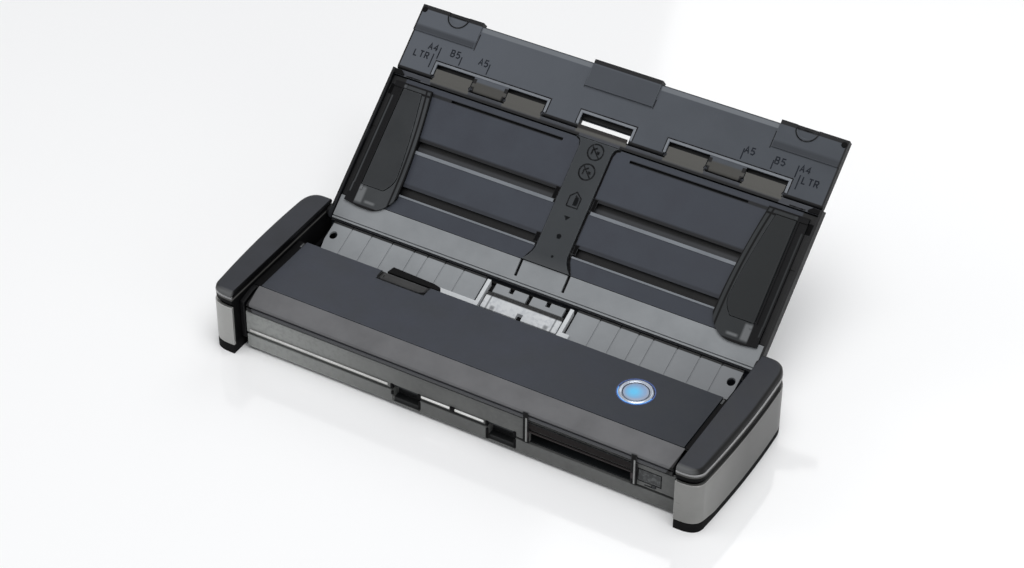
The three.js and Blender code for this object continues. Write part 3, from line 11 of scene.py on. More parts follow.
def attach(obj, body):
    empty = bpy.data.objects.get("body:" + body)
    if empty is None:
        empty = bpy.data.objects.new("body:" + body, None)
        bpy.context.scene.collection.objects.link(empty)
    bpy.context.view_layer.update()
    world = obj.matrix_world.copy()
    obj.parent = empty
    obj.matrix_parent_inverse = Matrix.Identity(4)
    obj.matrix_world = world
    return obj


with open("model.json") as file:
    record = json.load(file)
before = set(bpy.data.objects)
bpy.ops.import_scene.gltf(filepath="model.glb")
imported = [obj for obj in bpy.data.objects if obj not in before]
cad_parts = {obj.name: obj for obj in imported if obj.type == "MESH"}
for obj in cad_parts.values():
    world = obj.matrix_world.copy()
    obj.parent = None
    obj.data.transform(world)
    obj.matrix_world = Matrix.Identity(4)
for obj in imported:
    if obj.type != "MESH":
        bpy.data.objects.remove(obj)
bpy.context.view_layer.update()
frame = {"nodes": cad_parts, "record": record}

MM = 0.001
NODES = frame["nodes"]
SLOT_OF = {row["node"]: row["material_slot"] for row in frame["record"]["subparts"]}
SIDES = (-1, 1)

# The camera that the photograph was taken with, fitted to the body's straight edges
CAMERA_TARGET = Vector((0.04024, -0.09950, 0.11720))
CAMERA_AZIMUTH = math.radians(29.8624)
CAMERA_ELEVATION = math.radians(38.6257)
CAMERA_ROLL = math.radians(0.3760)
CAMERA_DISTANCE = 1.21958
FOCAL_PIXELS = 2623.07
PHOTO_WIDTH = 1024
SENSOR_WIDTH = 36.0

# Places of the CAD model, in millimetres: its own desk origin lies under the body's middle
BODY_SHIFT = -47.845
FRONT_Y = -40.0  # face of the front wall and of the fascia
REAR_Y = 47.2  # face of the rear panel
BOTTOM_Z = 1.8  # underside of the bottom cover
EXIT_Z = 9.7  # top of the lower fascia
WALL_Z = 11.3  # foot of the front cover's wall
BEVEL_Z = 25.0  # foot of the sloped band
PANEL_Z = 34.0  # flat top panel, and top of the sloped band
LEDGE_Z = (34.5, 35.6)  # ledge of a cap's frame under its bright trim line
CAP_Z = 40.0  # top of the end caps
BUTTON = (83.4, -3.9)
# painted highlights run down the card slot's two cheeks
SLOT_CHEEKS = (42.9, 102.9)  # bright lines down the card slot's two ends
POCKET_X = (20.2, 35.2)  # the inside of a finger pocket, from the middle

# Places on the tray: from the middle, up the tray from its hinge (u), and out of its face (v)
HINGE_Y, HINGE_Z = 43.3, 34.3
TRAY_TILT = math.radians(39)
HEAD = -1.0  # v of the tray's end bar and of the bridge
FACE = -1.4  # v of the open extension's face
PANEL = -2.1  # v of the tray's two panels
SKIN = -5.2  # v under which the tray's and the extension's outer faces lie
BARREL = (80.0, 88.0)  # u of the extension's round hinge edge
NOTCHES = (36.2, 103.8)  # each side's group of two notches, from the middle
LUG = (59.6, 80.4)  # and the extension's lug between them
MIDDLE_NOTCH = 15.0  # half the width of the notch in the middle
TIP_U = 121.6  # u of the extension's tip
BLOCK_X = 87.8  # inner end of the blocks at the extension's tip, from the middle
TAB_X = 20.0  # half the width of the tab between them

# Edges: how the materials find them, and the angle from which modifiers round and keep them
EDGE_SAMPLES = 4
EDGE_DOT = 0.86
SHARP_ANGLE = math.radians(34)

# Floor and light: each lamp's place and size in metres, and its power in watts
FLOOR_REACH = 30.0
WORLD_LEVEL = 0.32
LAMPS = {
    "key_light": ((0.3, -0.3, 1.7), 1.2, 19.0),
    "left_light": ((-1.5, -0.8, 0.9), 1.0, 5.0),
    "right_light": ((1.5, -0.6, 0.5), 0.9, 2.5),
    "back_light": ((-0.2, 1.5, 1.2), 1.0, 4.0),
}


class Graph:
    """A material's node tree, with short calls for the nodes used here."""

    def __init__(self, name):
        self.material = bpy.data.materials.new(name)
        self.material.use_nodes = True
        self.tree = self.material.node_tree
        self.tree.nodes.clear()

    def add(self, kind, **settings):
        node = self.tree.nodes.new("ShaderNode" + kind)
        for key, value in settings.items():
            setattr(node, key, value)
        return node

    def link(self, source, target):
        self.tree.links.new(source, target)

    def feed(self, socket, value):
        """Gives a socket a number, a colour or another node's output."""
        if isinstance(value, bpy.types.NodeSocket):
            self.link(value, socket)
        elif isinstance(value, (tuple, list)):
            socket.default_value = (*value, 1.0)[: len(socket.default_value)]
        else:
            socket.default_value = value

    def math(self, operation, first, second=0.0):
        node = self.add("Math", operation=operation)
        self.feed(node.inputs[0], first)
        self.feed(node.inputs[1], second)
        return node.outputs[0]

    def ramp(self, value, low, high, out_low=0.0, out_high=1.0):
        """Maps value from low..high to out_low..out_high, held at its ends."""
        node = self.add("MapRange")
        ends = {"From Min": low, "From Max": high, "To Min": out_low, "To Max": out_high}
        for name, number in {"Value": value, **ends}.items():
            self.feed(node.inputs[name], number)
        return node.outputs["Result"]

    def blend(self, factor, first, second):
        """Mixes two colours."""
        node = self.add("Mix", data_type="RGBA")
        self.feed(node.inputs["Factor"], factor)
        self.feed(node.inputs["A"], first)
        self.feed(node.inputs["B"], second)
        return node.outputs["Result"]

    def place(self, stretch=(1.0, 1.0, 1.0), turn=0.0, shift=(0.0, 0.0, 0.0)):
        """The point in the row frame, in metres, stretched, then turned about X, then shifted."""
        where = self.add("TexCoord")
        mapping = self.add("Mapping")
        mapping.inputs["Scale"].default_value = stretch
        mapping.inputs["Rotation"].default_value = (turn, 0.0, 0.0)
        mapping.inputs["Location"].default_value = shift
        self.link(where.outputs["Object"], mapping.inputs["Vector"])
        return mapping.outputs["Vector"]

    def desk(self):
        """Sockets with X, Y and Z in millimetres from the body's middle on the desk."""
        return self.local((0.0, -BODY_SHIFT, 0.0), 0.0)

    def tray(self):
        """Sockets with X, the way up the tray and the height over its face, in millimetres."""
        up, out = math.cos(TRAY_TILT), math.sin(TRAY_TILT)
        y, z = HINGE_Y + BODY_SHIFT, HINGE_Z
        return self.local((0.0, -(y * up + z * out), y * out - z * up), -TRAY_TILT)

    def half_desk(self):
        """The same as desk(), with the distance from the middle for X."""
        x, y, z = self.desk()
        return self.math("ABSOLUTE", x), y, z

    def half_tray(self):
        """The same as tray(), with the distance from the middle for X."""
        x, u, v = self.tray()
        return self.math("ABSOLUTE", x), u, v

    def local(self, shift, turn):
        """Sockets with a point's place in a shifted and turned frame, in millimetres."""
        parts = self.add("SeparateXYZ")
        self.link(self.place((1 / MM,) * 3, turn, shift), parts.inputs["Vector"])
        return parts.outputs

    def within(self, value, low, high, soft=0.2):
        """1 between two numbers and 0 outside them."""
        rise = self.ramp(value, low - soft, low + soft)
        fall = self.ramp(value, high - soft, high + soft, 1.0, 0.0)
        return self.math("MULTIPLY", rise, fall)

    def outside(self, mask):
        return self.math("SUBTRACT", 1.0, mask)

    def all_of(self, *masks):
        product = masks[0]
        for mask in masks[1:]:
            product = self.math("MULTIPLY", product, mask)
        return product

    def any_of(self, *masks):
        most = masks[0]
        for mask in masks[1:]:
            most = self.math("MAXIMUM", most, mask)
        return most

    def noise(self, place, per_metre, detail=2.0, roughness=0.5):
        node = self.add("TexNoise")
        self.link(place, node.inputs["Vector"])
        node.inputs["Scale"].default_value = per_metre
        node.inputs["Detail"].default_value = detail
        node.inputs["Roughness"].default_value = roughness
        return node.outputs["Fac"]

    def edges(self, radius):
        """1 on sharp edges and 0 on flat faces."""
        bevel = self.add("Bevel", samples=EDGE_SAMPLES)
        bevel.inputs["Radius"].default_value = radius
        geometry = self.add("NewGeometry")
        dot = self.add("VectorMath", operation="DOT_PRODUCT")
        self.link(bevel.outputs["Normal"], dot.inputs[0])
        self.link(geometry.outputs["Normal"], dot.inputs[1])
        return self.ramp(dot.outputs["Value"], 1.0, EDGE_DOT)

    def surface(self, bump=None, **inputs):
        """Ends the tree in a Principled shader with these inputs."""
        shader = self.add("BsdfPrincipled")
        for key, value in inputs.items():
            self.feed(shader.inputs[key.replace("_", " ")], value)
        if bump is not None:
            self.link(bump, shader.inputs["Normal"])
        output = self.add("OutputMaterial")
        self.link(shader.outputs["BSDF"], output.inputs["Surface"])
        return self.material

    def bump(self, height, depth):
        """Height of 0..1 as a relief of this depth in metres."""
        node = self.add("Bump")
        node.inputs["Strength"].default_value = 1.0
        node.inputs["Distance"].default_value = depth
        self.link(height, node.inputs["Height"])
        return node.outputs["Normal"]


def linear(code):
    """A colour written as #rrggbb, in the linear values that shaders take."""
    parts = [int(code[i : i + 2], 16) / 255 for i in (1, 3, 5)]
    return tuple(p / 12.92 if p <= 0.04045 else ((p + 0.055) / 1.055) ** 2.4 for p in parts)


# Sizes of the plastics' noise, in waves per metre, and relief and worn edges in metres
GRAIN = 1900.0
SCUFFS = 420.0
PATCHES = 55.0
GRAIN_DEPTH = 4e-5
BRUSH_DEPTH = 1e-5
WORN_EDGE = 0.0007
BRIGHT_EDGE = 0.0005


def moulded(name, colour, other, rough, zones=(), worn="#8a8c90", wear=0.3, gloss=0.2):
    """Moulded plastic: a fine spark grain, patches of colour and gloss, and edges rubbed paler.

    Each zone is a function that gives a mask, and the colour that the mask brings."""
    g = Graph(name)
    place = g.place()
    fine = g.noise(place, GRAIN, 3.0, 0.6)
    patches = g.noise(place, PATCHES, 3.0, 0.55)
    base = g.blend(g.ramp(patches, 0.35, 0.65), linear(colour), linear(other))
    base = g.blend(g.ramp(fine, 0.35, 0.75, 0.0, 0.35), base, linear(other))
    scuffs = g.noise(place, SCUFFS, 4.0, 0.7)
    rub = g.math("MULTIPLY", g.edges(WORN_EDGE), g.ramp(scuffs, 0.42, 0.66, 0.15, 1.0))
    base = g.blend(g.math("MULTIPLY", rub, wear), base, linear(worn))
    for mask, tint in zones:
        speckled = g.math("MULTIPLY", mask(g), g.ramp(fine, 0.2, 0.6, 0.9, 1.0))
        base = g.blend(speckled, base, linear(tint))
    shine = g.ramp(patches, 0.3, 0.7, rough - 0.06, rough + 0.06)
    shine = g.math("ADD", shine, g.ramp(scuffs, 0.3, 0.7, -0.04, 0.04))
    return g.surface(
        bump=g.bump(fine, GRAIN_DEPTH), Base_Color=base, Roughness=shine, Specular_IOR_Level=gloss
    )


def metal(name, colour, other, rough, zones=(), metallic=1.0):
    """Satin metal: long fine brush lines, cloudy gloss and rubbed edges."""
    g = Graph(name)
    lines = g.noise(g.place((1.0, 30.0, 30.0)), 160.0, 3.0, 0.6)
    cloud = g.noise(g.place(), 70.0, 2.0)
    base = g.blend(g.ramp(cloud, 0.35, 0.65), linear(colour), linear(other))
    for mask, tint in zones:
        base = g.blend(g.math("MULTIPLY", mask(g), 0.9), base, linear(tint))
    base = g.blend(g.math("MULTIPLY", g.edges(BRIGHT_EDGE), 0.3), base, linear("#e8e8e6"))
    shine = g.ramp(lines, 0.3, 0.7, rough - 0.07, rough + 0.07)
    return g.surface(
        bump=g.bump(lines, BRUSH_DEPTH), Base_Color=base, Roughness=shine, Metallic=metallic
    )


def rubber(name, colour, other):
    """Dull rubber with a coarse ground surface."""
    g = Graph(name)
    place = g.place()
    fine = g.noise(place, 1500.0, 4.0, 0.7)
    cloud = g.noise(place, 120.0, 2.0)
    base = g.blend(g.ramp(cloud, 0.35, 0.65), linear(colour), linear(other))
    shine = g.ramp(fine, 0.3, 0.7, 0.72, 0.9)
    return g.surface(bump=g.bump(fine, 8e-5), Base_Color=base, Roughness=shine, Specular_IOR_Level=0.1)


def clear(name, tint):
    """Scanning glass with a faint film of dust."""
    g = Graph(name)
    dust = g.noise(g.place(), 260.0, 4.0, 0.7)
    shine = g.ramp(dust, 0.45, 0.75, 0.02, 0.12)
    return g.surface(
        Base_Color=linear(tint), Roughness=shine, Transmission_Weight=0.85, IOR=1.5
    )


def board(name):
    """Green circuit board with traces and lighter pads."""
    g = Graph(name)
    place = g.place()
    traces = g.add("TexBrick")
    g.link(place, traces.inputs["Vector"])
    traces.inputs["Scale"].default_value = 180.0
    traces.inputs["Color1"].default_value = (*linear("#1d5a34"), 1.0)
    traces.inputs["Color2"].default_value = (*linear("#235f3a"), 1.0)
    traces.inputs["Mortar"].default_value = (*linear("#3b7d4e"), 1.0)
    speck = g.noise(place, 900.0, 2.0)
    base = g.blend(g.ramp(speck, 0.62, 0.7), traces.outputs["Color"], linear("#c9cbb8"))
    return g.surface(
        bump=g.bump(speck, 3e-5), Base_Color=base, Roughness=g.ramp(speck, 0.3, 0.7, 0.35, 0.5)
    )


def lit(name, colour, core, strength):
    """Clear blue plastic with a light behind it, cloudy from its moulding."""
    g = Graph(name)
    place = g.place()
    cloud = g.noise(place, 500.0, 3.0)
    base = g.blend(g.ramp(cloud, 0.35, 0.65), linear(colour), linear(core))
    return g.surface(
        bump=g.bump(g.noise(place, 2200.0), 2e-5),
        Base_Color=base,
        Roughness=g.ramp(cloud, 0.3, 0.7, 0.2, 0.34),
        Emission_Color=base,
        Emission_Strength=strength,
    )


# Zones: each function gives a mask that is 1 where its colour shows
def cap_edge_shade(g):
    """Painted shade on the rounded edge of a cap's top plate, where it turns from the light."""
    return g.ramp(g.desk()["Z"], CAP_Z - 0.25, CAP_Z - 0.05, 1.0, 0.0)


def cap_front(g):
    """The light that falls on a cap's rounded front end."""
    return g.ramp(g.desk()["Y"], -46.8, -44.4, 0.9, 0.0)


def trim_ledge(g):
    """The pale ledge of a cap's frame under its bright trim line."""
    return g.within(g.desk()["Z"], *LEDGE_Z)


def hinge_shadow(g):
    """The dark hinge side of the extension: its barrel, but for the lugs, and the sides of its notches."""
    away, u, v = g.half_tray()
    lug = g.within(away, LUG[0] - 0.3, LUG[1] + 0.3)
    barrel = g.all_of(g.within(u, *BARREL), g.outside(lug))
    deep = g.all_of(g.within(u, BARREL[0], 96.5), g.within(v, SKIN, -2.0))
    return g.all_of(g.any_of(barrel, deep), g.ramp(v, SKIN - 0.2, SKIN))


def tip_edge(g):
    """The low step along the extension's tip, between the end blocks and the tab."""
    away, u, v = g.half_tray()
    between = g.within(away, TAB_X + 0.6, BLOCK_X - 0.2)
    return g.all_of(g.within(u, TIP_U - 2.6, TIP_U - 0.2), between, g.ramp(v, FACE - 0.2, FACE))


def tip_shade(g):
    """Soft dark bands across the foot of the end blocks and over the tab."""
    away, u, v = g.half_tray()
    bands = g.all_of(g.ramp(away, BLOCK_X, BLOCK_X + 0.8), g.within(u, 108.8, 112.4, 0.8))
    tab = g.all_of(g.ramp(away, TAB_X - 0.4, TAB_X, 0.45, 0.0), g.within(u, 107.8, 121.0, 0.4))
    return g.all_of(g.any_of(bands, tab), g.ramp(v, FACE - 1.0, FACE - 0.6, 0.0, 0.8))


def extension_rim_shade(g):
    """Painted shade that makes the extension's outer edges dark."""
    away, u, v = g.half_tray()
    return g.any_of(g.ramp(away, 124.6, 124.9), g.ramp(u, TIP_U - 0.1, TIP_U + 0.2))


def extension_light(g):
    """The side of the extension that the light falls on."""
    return g.ramp(g.tray()["X"], -120.0, 120.0, 0.75, 0.0)


def lug_faces(g):
    """The lugs between the notches, in the tray's brown shadow."""
    away, u, v = g.half_tray()
    face = g.all_of(g.within(u, BARREL[0], 92.2, 0.5), g.ramp(v, SKIN + 0.4, SKIN + 0.8))
    return g.all_of(g.within(away, *LUG), face)


def lug_corner_shade(g):
    """Painted shadow: black spots at the lugs' upper corners and dark rims round the pins' openings."""
    away, u, v = g.half_tray()
    near = g.within(away, LUG[0] - 0.4, LUG[0] + 1.9)
    far = g.within(away, LUG[1] - 1.9, LUG[1] + 0.4)
    rows = g.any_of(g.within(u, 91.2, 93.8), g.within(u, 86.4, 89.2))
    return g.all_of(g.any_of(near, far), rows, g.ramp(v, SKIN + 0.4, SKIN + 0.8))


def pin_gleam(g):
    """The bright top of each hinge pin under its round opening: the pin's pale metal, with a painted
    highlight.
    """
    away, u, v = g.half_tray()
    spots = [g.within(away, middle - 0.5, middle + 0.3) for middle in (*NOTCHES, *LUG)]
    return g.all_of(g.any_of(*spots), g.within(u, 87.5, 88.2), g.within(v, -2.9, -2.4))


def tray_inside_shade(g):
    """Painted shade on the tray's floor and on the inner faces of its sides."""
    away, u, v = g.half_tray()
    floor = g.all_of(g.within(v, SKIN + 0.3, -1.2), g.within(u, -1.2, 82.6))
    sides = g.all_of(g.ramp(away, 125.6, 125.8), g.ramp(v, SKIN, SKIN + 0.4))
    return g.any_of(floor, sides)


def tray_outside_shade(g):
    """Painted shade on the outer faces and upper edges of the tray's sides."""
    return g.ramp(g.half_tray()[0], 125.5, 125.8)


def channel_floor(g):
    """The upper channel's floor, which is lit."""
    away, u, v = g.half_tray()
    inner = g.all_of(g.ramp(away, 9.0, 9.6), g.ramp(v, SKIN, SKIN + 0.4))
    return g.all_of(g.within(u, 44.0, 49.4, 0.6), inner)


def head_shade(g):
    """The dark joint between the tray's panels and its end bar."""
    away, u, v = g.half_tray()
    inner = g.all_of(g.within(away, 12.0, 103.0), g.ramp(v, SKIN, SKIN + 0.4))
    return g.all_of(g.within(u, 81.0, 84.0, 0.5), inner)


def tongues(g):
    """The tray's paler tongues between the extension's notches."""
    away, u, v = g.half_tray()
    sides = g.any_of(g.within(away, NOTCHES[0], LUG[0]), g.within(away, LUG[1], NOTCHES[1]))
    middle = g.within(away, -1.0, MIDDLE_NOTCH)
    return g.all_of(g.any_of(sides, middle), g.within(u, 84.2, 92.6, 0.6), g.ramp(v, -1.9, -1.6))


def middle_tongue_shade(g):
    """Painted shadow on the front edge of the middle tongue."""
    away, u, v = g.half_tray()
    return g.all_of(g.within(away, -1.0, MIDDLE_NOTCH), g.within(u, 86.2, 90.0, 0.4))


def bridge_foot(g):
    """The paler foot of the bridge."""
    return g.ramp(g.tray()["Y"], 11.0, 17.0, 0.6, 0.0)


def panel_wall_shade(g):
    """Painted shade on the sides of the slots in the tray's panels, and on the panels beyond the guides."""
    away, u, v = g.half_tray()
    return g.any_of(g.ramp(v, PANEL - 0.5, PANEL - 0.35, 1.0, 0.0), g.ramp(away, 117.0, 117.6))


def panel_shade(g):
    """Soft shadow on the panels along the upper side of each channel and of the long slot."""
    away, u, v = g.half_tray()
    slot = g.all_of(g.within(u, 77.0, 78.9, 0.3), g.within(away, 19.8, 101.0))
    channels = g.any_of(g.within(u, 50.0, 53.9, 0.6), g.within(u, 25.0, 28.0, 0.5))
    return g.all_of(g.any_of(slot, channels), g.ramp(v, PANEL - 0.4, PANEL - 0.2))


def guide_lines(g):
    """The double dark outline of a side guide, whose long inner edge curves out."""
    away, u, v = g.half_tray()
    bend = g.math("MULTIPLY", g.math("POWER", g.ramp(u, 18.6, 79.4), 2.0), 6.0)
    off = g.math("SUBTRACT", g.math("SUBTRACT", away, 93.6), bend)
    far = g.any_of(g.within(u, 78.4, 80.0), g.within(u, 75.4, 76.6))
    return g.any_of(g.within(off, -0.6, 0.9), g.within(off, 2.6, 3.7), g.within(u, 7.0, 8.7), far)


def guide_rail(g):
    """A guide's outer rail, black but for one paler line."""
    away, u, v = g.half_tray()
    line = g.all_of(g.within(away, 120.6, 121.4), g.within(u, 14.0, 71.0))
    return g.all_of(g.ramp(away, 116.2, 116.6), g.outside(line))


def guide_heel_highlight(g):
    """Painted highlights at a guide's near end: a pale patch and a short gleam."""
    away, u, v = g.half_tray()
    patch = g.all_of(g.within(away, 112.2, 116.4, 0.6), g.within(u, 9.8, 18.6, 0.6))
    gleam = g.all_of(g.within(away, 104.4, 110.4, 0.8), g.within(u, 10.4, 11.8, 0.5))
    return g.math("MULTIPLY", g.any_of(patch, gleam), 0.7)


def right_half(g):
    """The side away from the light."""
    return g.ramp(g.desk()["X"], 20.0, 120.0, 0.0, 0.8)


def left_gleam(g):
    """The front's left half, which catches more light."""
    return g.ramp(g.desk()["X"], -125.0, -20.0, 0.9, 0.0)


def left_side(g):
    """The left side panel, which faces the light."""
    return g.ramp(g.desk()["X"], -120.0, -100.0, 1.0, 0.0)


def panel_rear(g):
    """The side panels' rear, away from the light."""
    return g.ramp(g.desk()["Y"], -45.0, 0.0)


def mottle(g):
    """Cloudy patches a few millimetres wide."""
    return g.ramp(g.noise(g.place(), SCUFFS, 3.0), 0.48, 0.62, 0.0, 0.55)


def front_mottle(g):
    """The same patches, fainter."""
    return g.math("MULTIPLY", mottle(g), 0.45)


def cover_ends(g):
    """The front cover's sides, under the caps' shadow."""
    return g.ramp(g.half_desk()[0], 122.0, 122.4)


def lever_scoop(g):
    """The dark rim round the open lever's scoop."""
    x, y, z = g.desk()
    ends = g.math("MINIMUM", g.ramp(x, -74.0, -72.6), g.ramp(x, -48.4, -47.0, 1.0, 0.0))
    return g.outside(g.math("MINIMUM", ends, g.ramp(y, 8.6, 9.2)))


def around(g, x, y):
    """How far a point is from an upright line at x, y on the desk."""
    place = g.desk()
    across = g.math("POWER", g.math("SUBTRACT", place["X"], x), 2.0)
    along = g.math("POWER", g.math("SUBTRACT", place["Y"], y), 2.0)
    return g.math("SQRT", g.math("ADD", across, along))


def button_spot(g):
    """A soft cyan spot on the start button's face, off its middle."""
    return g.ramp(around(g, BUTTON[0] - 0.6, BUTTON[1] - 1.0), 1.4, 5.2, 1.0, 0.0)


def button_rim(g):
    """The start button's outer edge, painted paler as light against the shade of the gap round it."""
    return g.ramp(around(g, *BUTTON), 4.9, 6.0)


def bevel_ends(g):
    """How far a point is beyond the sloped band's slanting ends."""
    away, y, z = g.half_desk()
    return g.math("SUBTRACT", away, g.ramp(z, BEVEL_Z, PANEL_Z, 118.8, 123.4))


def bevel_wedge(g):
    """The dark end piece of the sloped band."""
    return g.ramp(bevel_ends(g), 0.0, 0.2)


def bevel_gap(g):
    """The black gap between the sloped band and its dark end piece."""
    return g.within(bevel_ends(g), -0.2, 1.5)


def band_groove(g):
    """The grooved band under the sloped one."""
    return g.ramp(g.desk()["Z"], 29.6, 29.9, 1.0, 0.0)


def pockets(g):
    """The inside of the front's four finger pockets."""
    away, y, z = g.half_desk()
    return g.all_of(g.within(away, *POCKET_X), g.ramp(y, FRONT_Y + 0.3, FRONT_Y + 0.6))


def slot_gleam(g):
    """A painted highlight down each cheek of the card slot, as a bright line."""
    x, y, z = g.desk()
    lines = [g.within(x, middle - 0.4, middle + 0.4) for middle in SLOT_CHEEKS]
    proud = g.ramp(y, FRONT_Y - 1.2, FRONT_Y - 1.0, 1.0, 0.0)
    return g.all_of(g.any_of(*lines), g.within(z, 12.0, 27.4), proud)


def slot_brow(g):
    """The brown band over the card slot."""
    x, y, z = g.desk()
    return g.all_of(g.within(x, SLOT_CHEEKS[0] + 1.3, SLOT_CHEEKS[1] - 2.1), g.within(z, 18.4, 24.0))


def slot_lip(g):
    """The paler lip under that band."""
    x, y, z = g.desk()
    return g.all_of(g.within(x, SLOT_CHEEKS[0] - 0.3, SLOT_CHEEKS[1] - 0.5), g.within(z, 15.0, 18.6))


def flap_shade(g):
    """The dark gap behind the separation flap."""
    return g.ramp(g.desk()["Y"], 30.6, 31.2)


def flap_lines(g):
    """The flap's two moulded divisions and the dark spots beside them."""
    away, y, z = g.half_desk()
    spots = g.all_of(g.within(away, 14.6, 17.0, 0.5), g.within(y, 24.0, 26.2, 0.5))
    return g.math("MULTIPLY", g.any_of(g.within(away, 18.6, 19.5), spots), 0.75)


def bed_rear_shade(g):
    """Painted shade on the bed's rear edge, under the tray."""
    return g.ramp(g.desk()["Y"], 38.6, 38.9)


# Finishes of the record's material slots
BLACK_TONES = ("#070708", "#0c0c0d")
GREY_TONES = ("#86898c", "#909396")
WHITE_TONES = ("#d3d5d7", "#c3c6c9")
BLACK_WEAR = "#232425"

FINISH = {
    "slate_plastic": moulded("slate_plastic", "#36393f", "#3b3e46", 0.5),
    "dark_plastic": moulded("dark_plastic", "#26282a", "#2c2f31", 0.5),
    "black_plastic": moulded("black_plastic", *BLACK_TONES, 0.55, worn=BLACK_WEAR, gloss=0.06),
    "grey_plastic": moulded("grey_plastic", *GREY_TONES, 0.5, worn="#b4b6b8"),
    "bevel_grey": moulded(
        "bevel_grey",
        "#5b5c5b",
        "#666766",
        0.45,
        zones=[(left_gleam, "#a8aaa8"), (front_mottle, "#6e6f6e"), (pockets, "#1c1d1e")],
        worn="#8c8c8e",
    ),
    "satin_metal": metal(
        "satin_metal",
        "#868684",
        "#7f7f7d",
        0.34,
        zones=[(panel_rear, "#4b4b4a"), (left_side, "#9f9f9d")],
        metallic=0.6,
    ),
    "bright_trim": metal("bright_trim", "#8f8f90", "#818183", 0.36, metallic=0.7),
    "steel": metal("steel", "#8a8b8e", "#77787b", 0.4),
    "rubber": rubber("rubber", "#0a0a0b", "#101011"),
    "white_plastic": moulded("white_plastic", *WHITE_TONES, 0.42, worn="#e6e6e8"),
    "glass": clear("glass", "#c8d6d8"),
    "circuit": board("circuit"),
    "blue_light": lit("blue_light", "#7fb4e6", "#a9cdf0", 0.4),
}

# Finishes of single nodes, by their names without right_ or left_
NODE_FINISH = {
    "cap_top": moulded(
        "cap_top",
        "#24262b",
        "#2a2c32",
        0.42,
        # painted shade on the rounded edge, painted light on the front end
        zones=[(cap_edge_shade, "#050506"), (cap_front, "#626364")],
        wear=0.1,
    ),
    "end_cap": moulded(
        "cap_black", *BLACK_TONES, 0.55, zones=[(trim_ledge, "#5a5957")], worn=BLACK_WEAR, gloss=0.06
    ),
    "extension": moulded(
        "extension_slate",
        "#3c4046",
        "#43474d",
        0.5,
        zones=[
            (extension_light, "#5a5e65"),
            (tip_edge, "#6c7075"),
            (tip_shade, "#2b2e33"),
            (lug_faces, "#43423f"),
            (extension_rim_shade, "#0c0c0e"),
            (hinge_shadow, "#050506"),
            (lug_corner_shade, "#050506"),
            (pin_gleam, "#a5a6a5"),
        ],
    ),
    "tray_shell": moulded(
        "tray_slate",
        "#393b40",
        "#3f4147",
        0.5,
        zones=[
            (tray_inside_shade, "#040405"),
            (channel_floor, "#36373a"),
            (head_shade, "#0a0b0d"),
            (tongues, "#53524f"),
            (middle_tongue_shade, "#211e1d"),
            (tray_outside_shade, "#0c0c0e"),
        ],
    ),
    "tray_panel": moulded(
        "panel_slate",
        "#373a42",
        "#3c4048",
        0.5,
        zones=[(right_half, "#33363d"), (panel_shade, "#101114"), (panel_wall_shade, "#0a0a0b")],
    ),
    "tray_bridge": moulded("bridge_slate", "#303336", "#35383b", 0.5, zones=[(bridge_foot, "#46484a")]),
    "guide_carriage": moulded(
        "carriage_dark",
        "#3a3c3e",
        "#424446",
        0.5,
        zones=[
            (right_half, "#292b2c"), (guide_heel_highlight, "#7c7e80"),
            (guide_lines, "#040405"), (guide_rail, "#08080a"),
        ],
        gloss=0.1,
    ),
    "guide_plate": moulded(
        "leaf_dark", "#2a2c2e", "#303234", 0.5, zones=[(right_half, "#191b1c")], gloss=0.15
    ),
    "start_button": moulded(
        "button_face",
        "#7f9cc0",
        "#8ba8cb",
        0.3,
        # the paler rim is painted light
        zones=[(button_rim, "#9aa5b8"), (button_spot, "#66c2ee")],
    ),
    "button_ring": metal("silver_ring", "#a6adb8", "#969daa", 0.25, metallic=0.8),
    "front_bevel": moulded(
        "front_band",
        "#5d5d5f",
        "#676769",
        0.48,
        zones=[(band_groove, "#4a4b4e"), (bevel_wedge, "#262627"), (bevel_gap, "#060607")],
    ),
    "top_cover": moulded(
        "cover_slate", "#32353b", "#373a42", 0.5, zones=[(right_half, "#22252a"), (cover_ends, "#050506")]
    ),
    "open_lever": moulded("lever", "#2f2f30", "#3a3a3a", 0.5, zones=[(lever_scoop, "#060607")]),
    # the near-white lips are pale glossy strips whose colour also paints a reflection of the bright
    # surroundings
    "exit_lip_left": metal("left_lip", "#d4d4d2", "#c4c4c2", 0.4, metallic=0.4),
    "exit_lip_centre": metal("centre_lip", "#efefee", "#e4e4e2", 0.4, metallic=0.2),
    "card_slot": moulded(
        "slot_black",
        *BLACK_TONES,
        0.55,
        zones=[(slot_brow, "#1b1717"), (slot_lip, "#3a3536"), (slot_gleam, "#9a9b9a")],
        gloss=0.1,
    ),
    "separation_flap": moulded(
        "flap_white",
        *WHITE_TONES,
        0.42,
        zones=[(mottle, "#aeb2b8"), (flap_lines, "#55585c"), (flap_shade, "#060607")],
    ),
    "feed_bed": moulded(
        "bed_grey", *GREY_TONES, 0.5, zones=[(right_half, "#6f7174"), (bed_rear_shade, "#060607")]
    ),
}


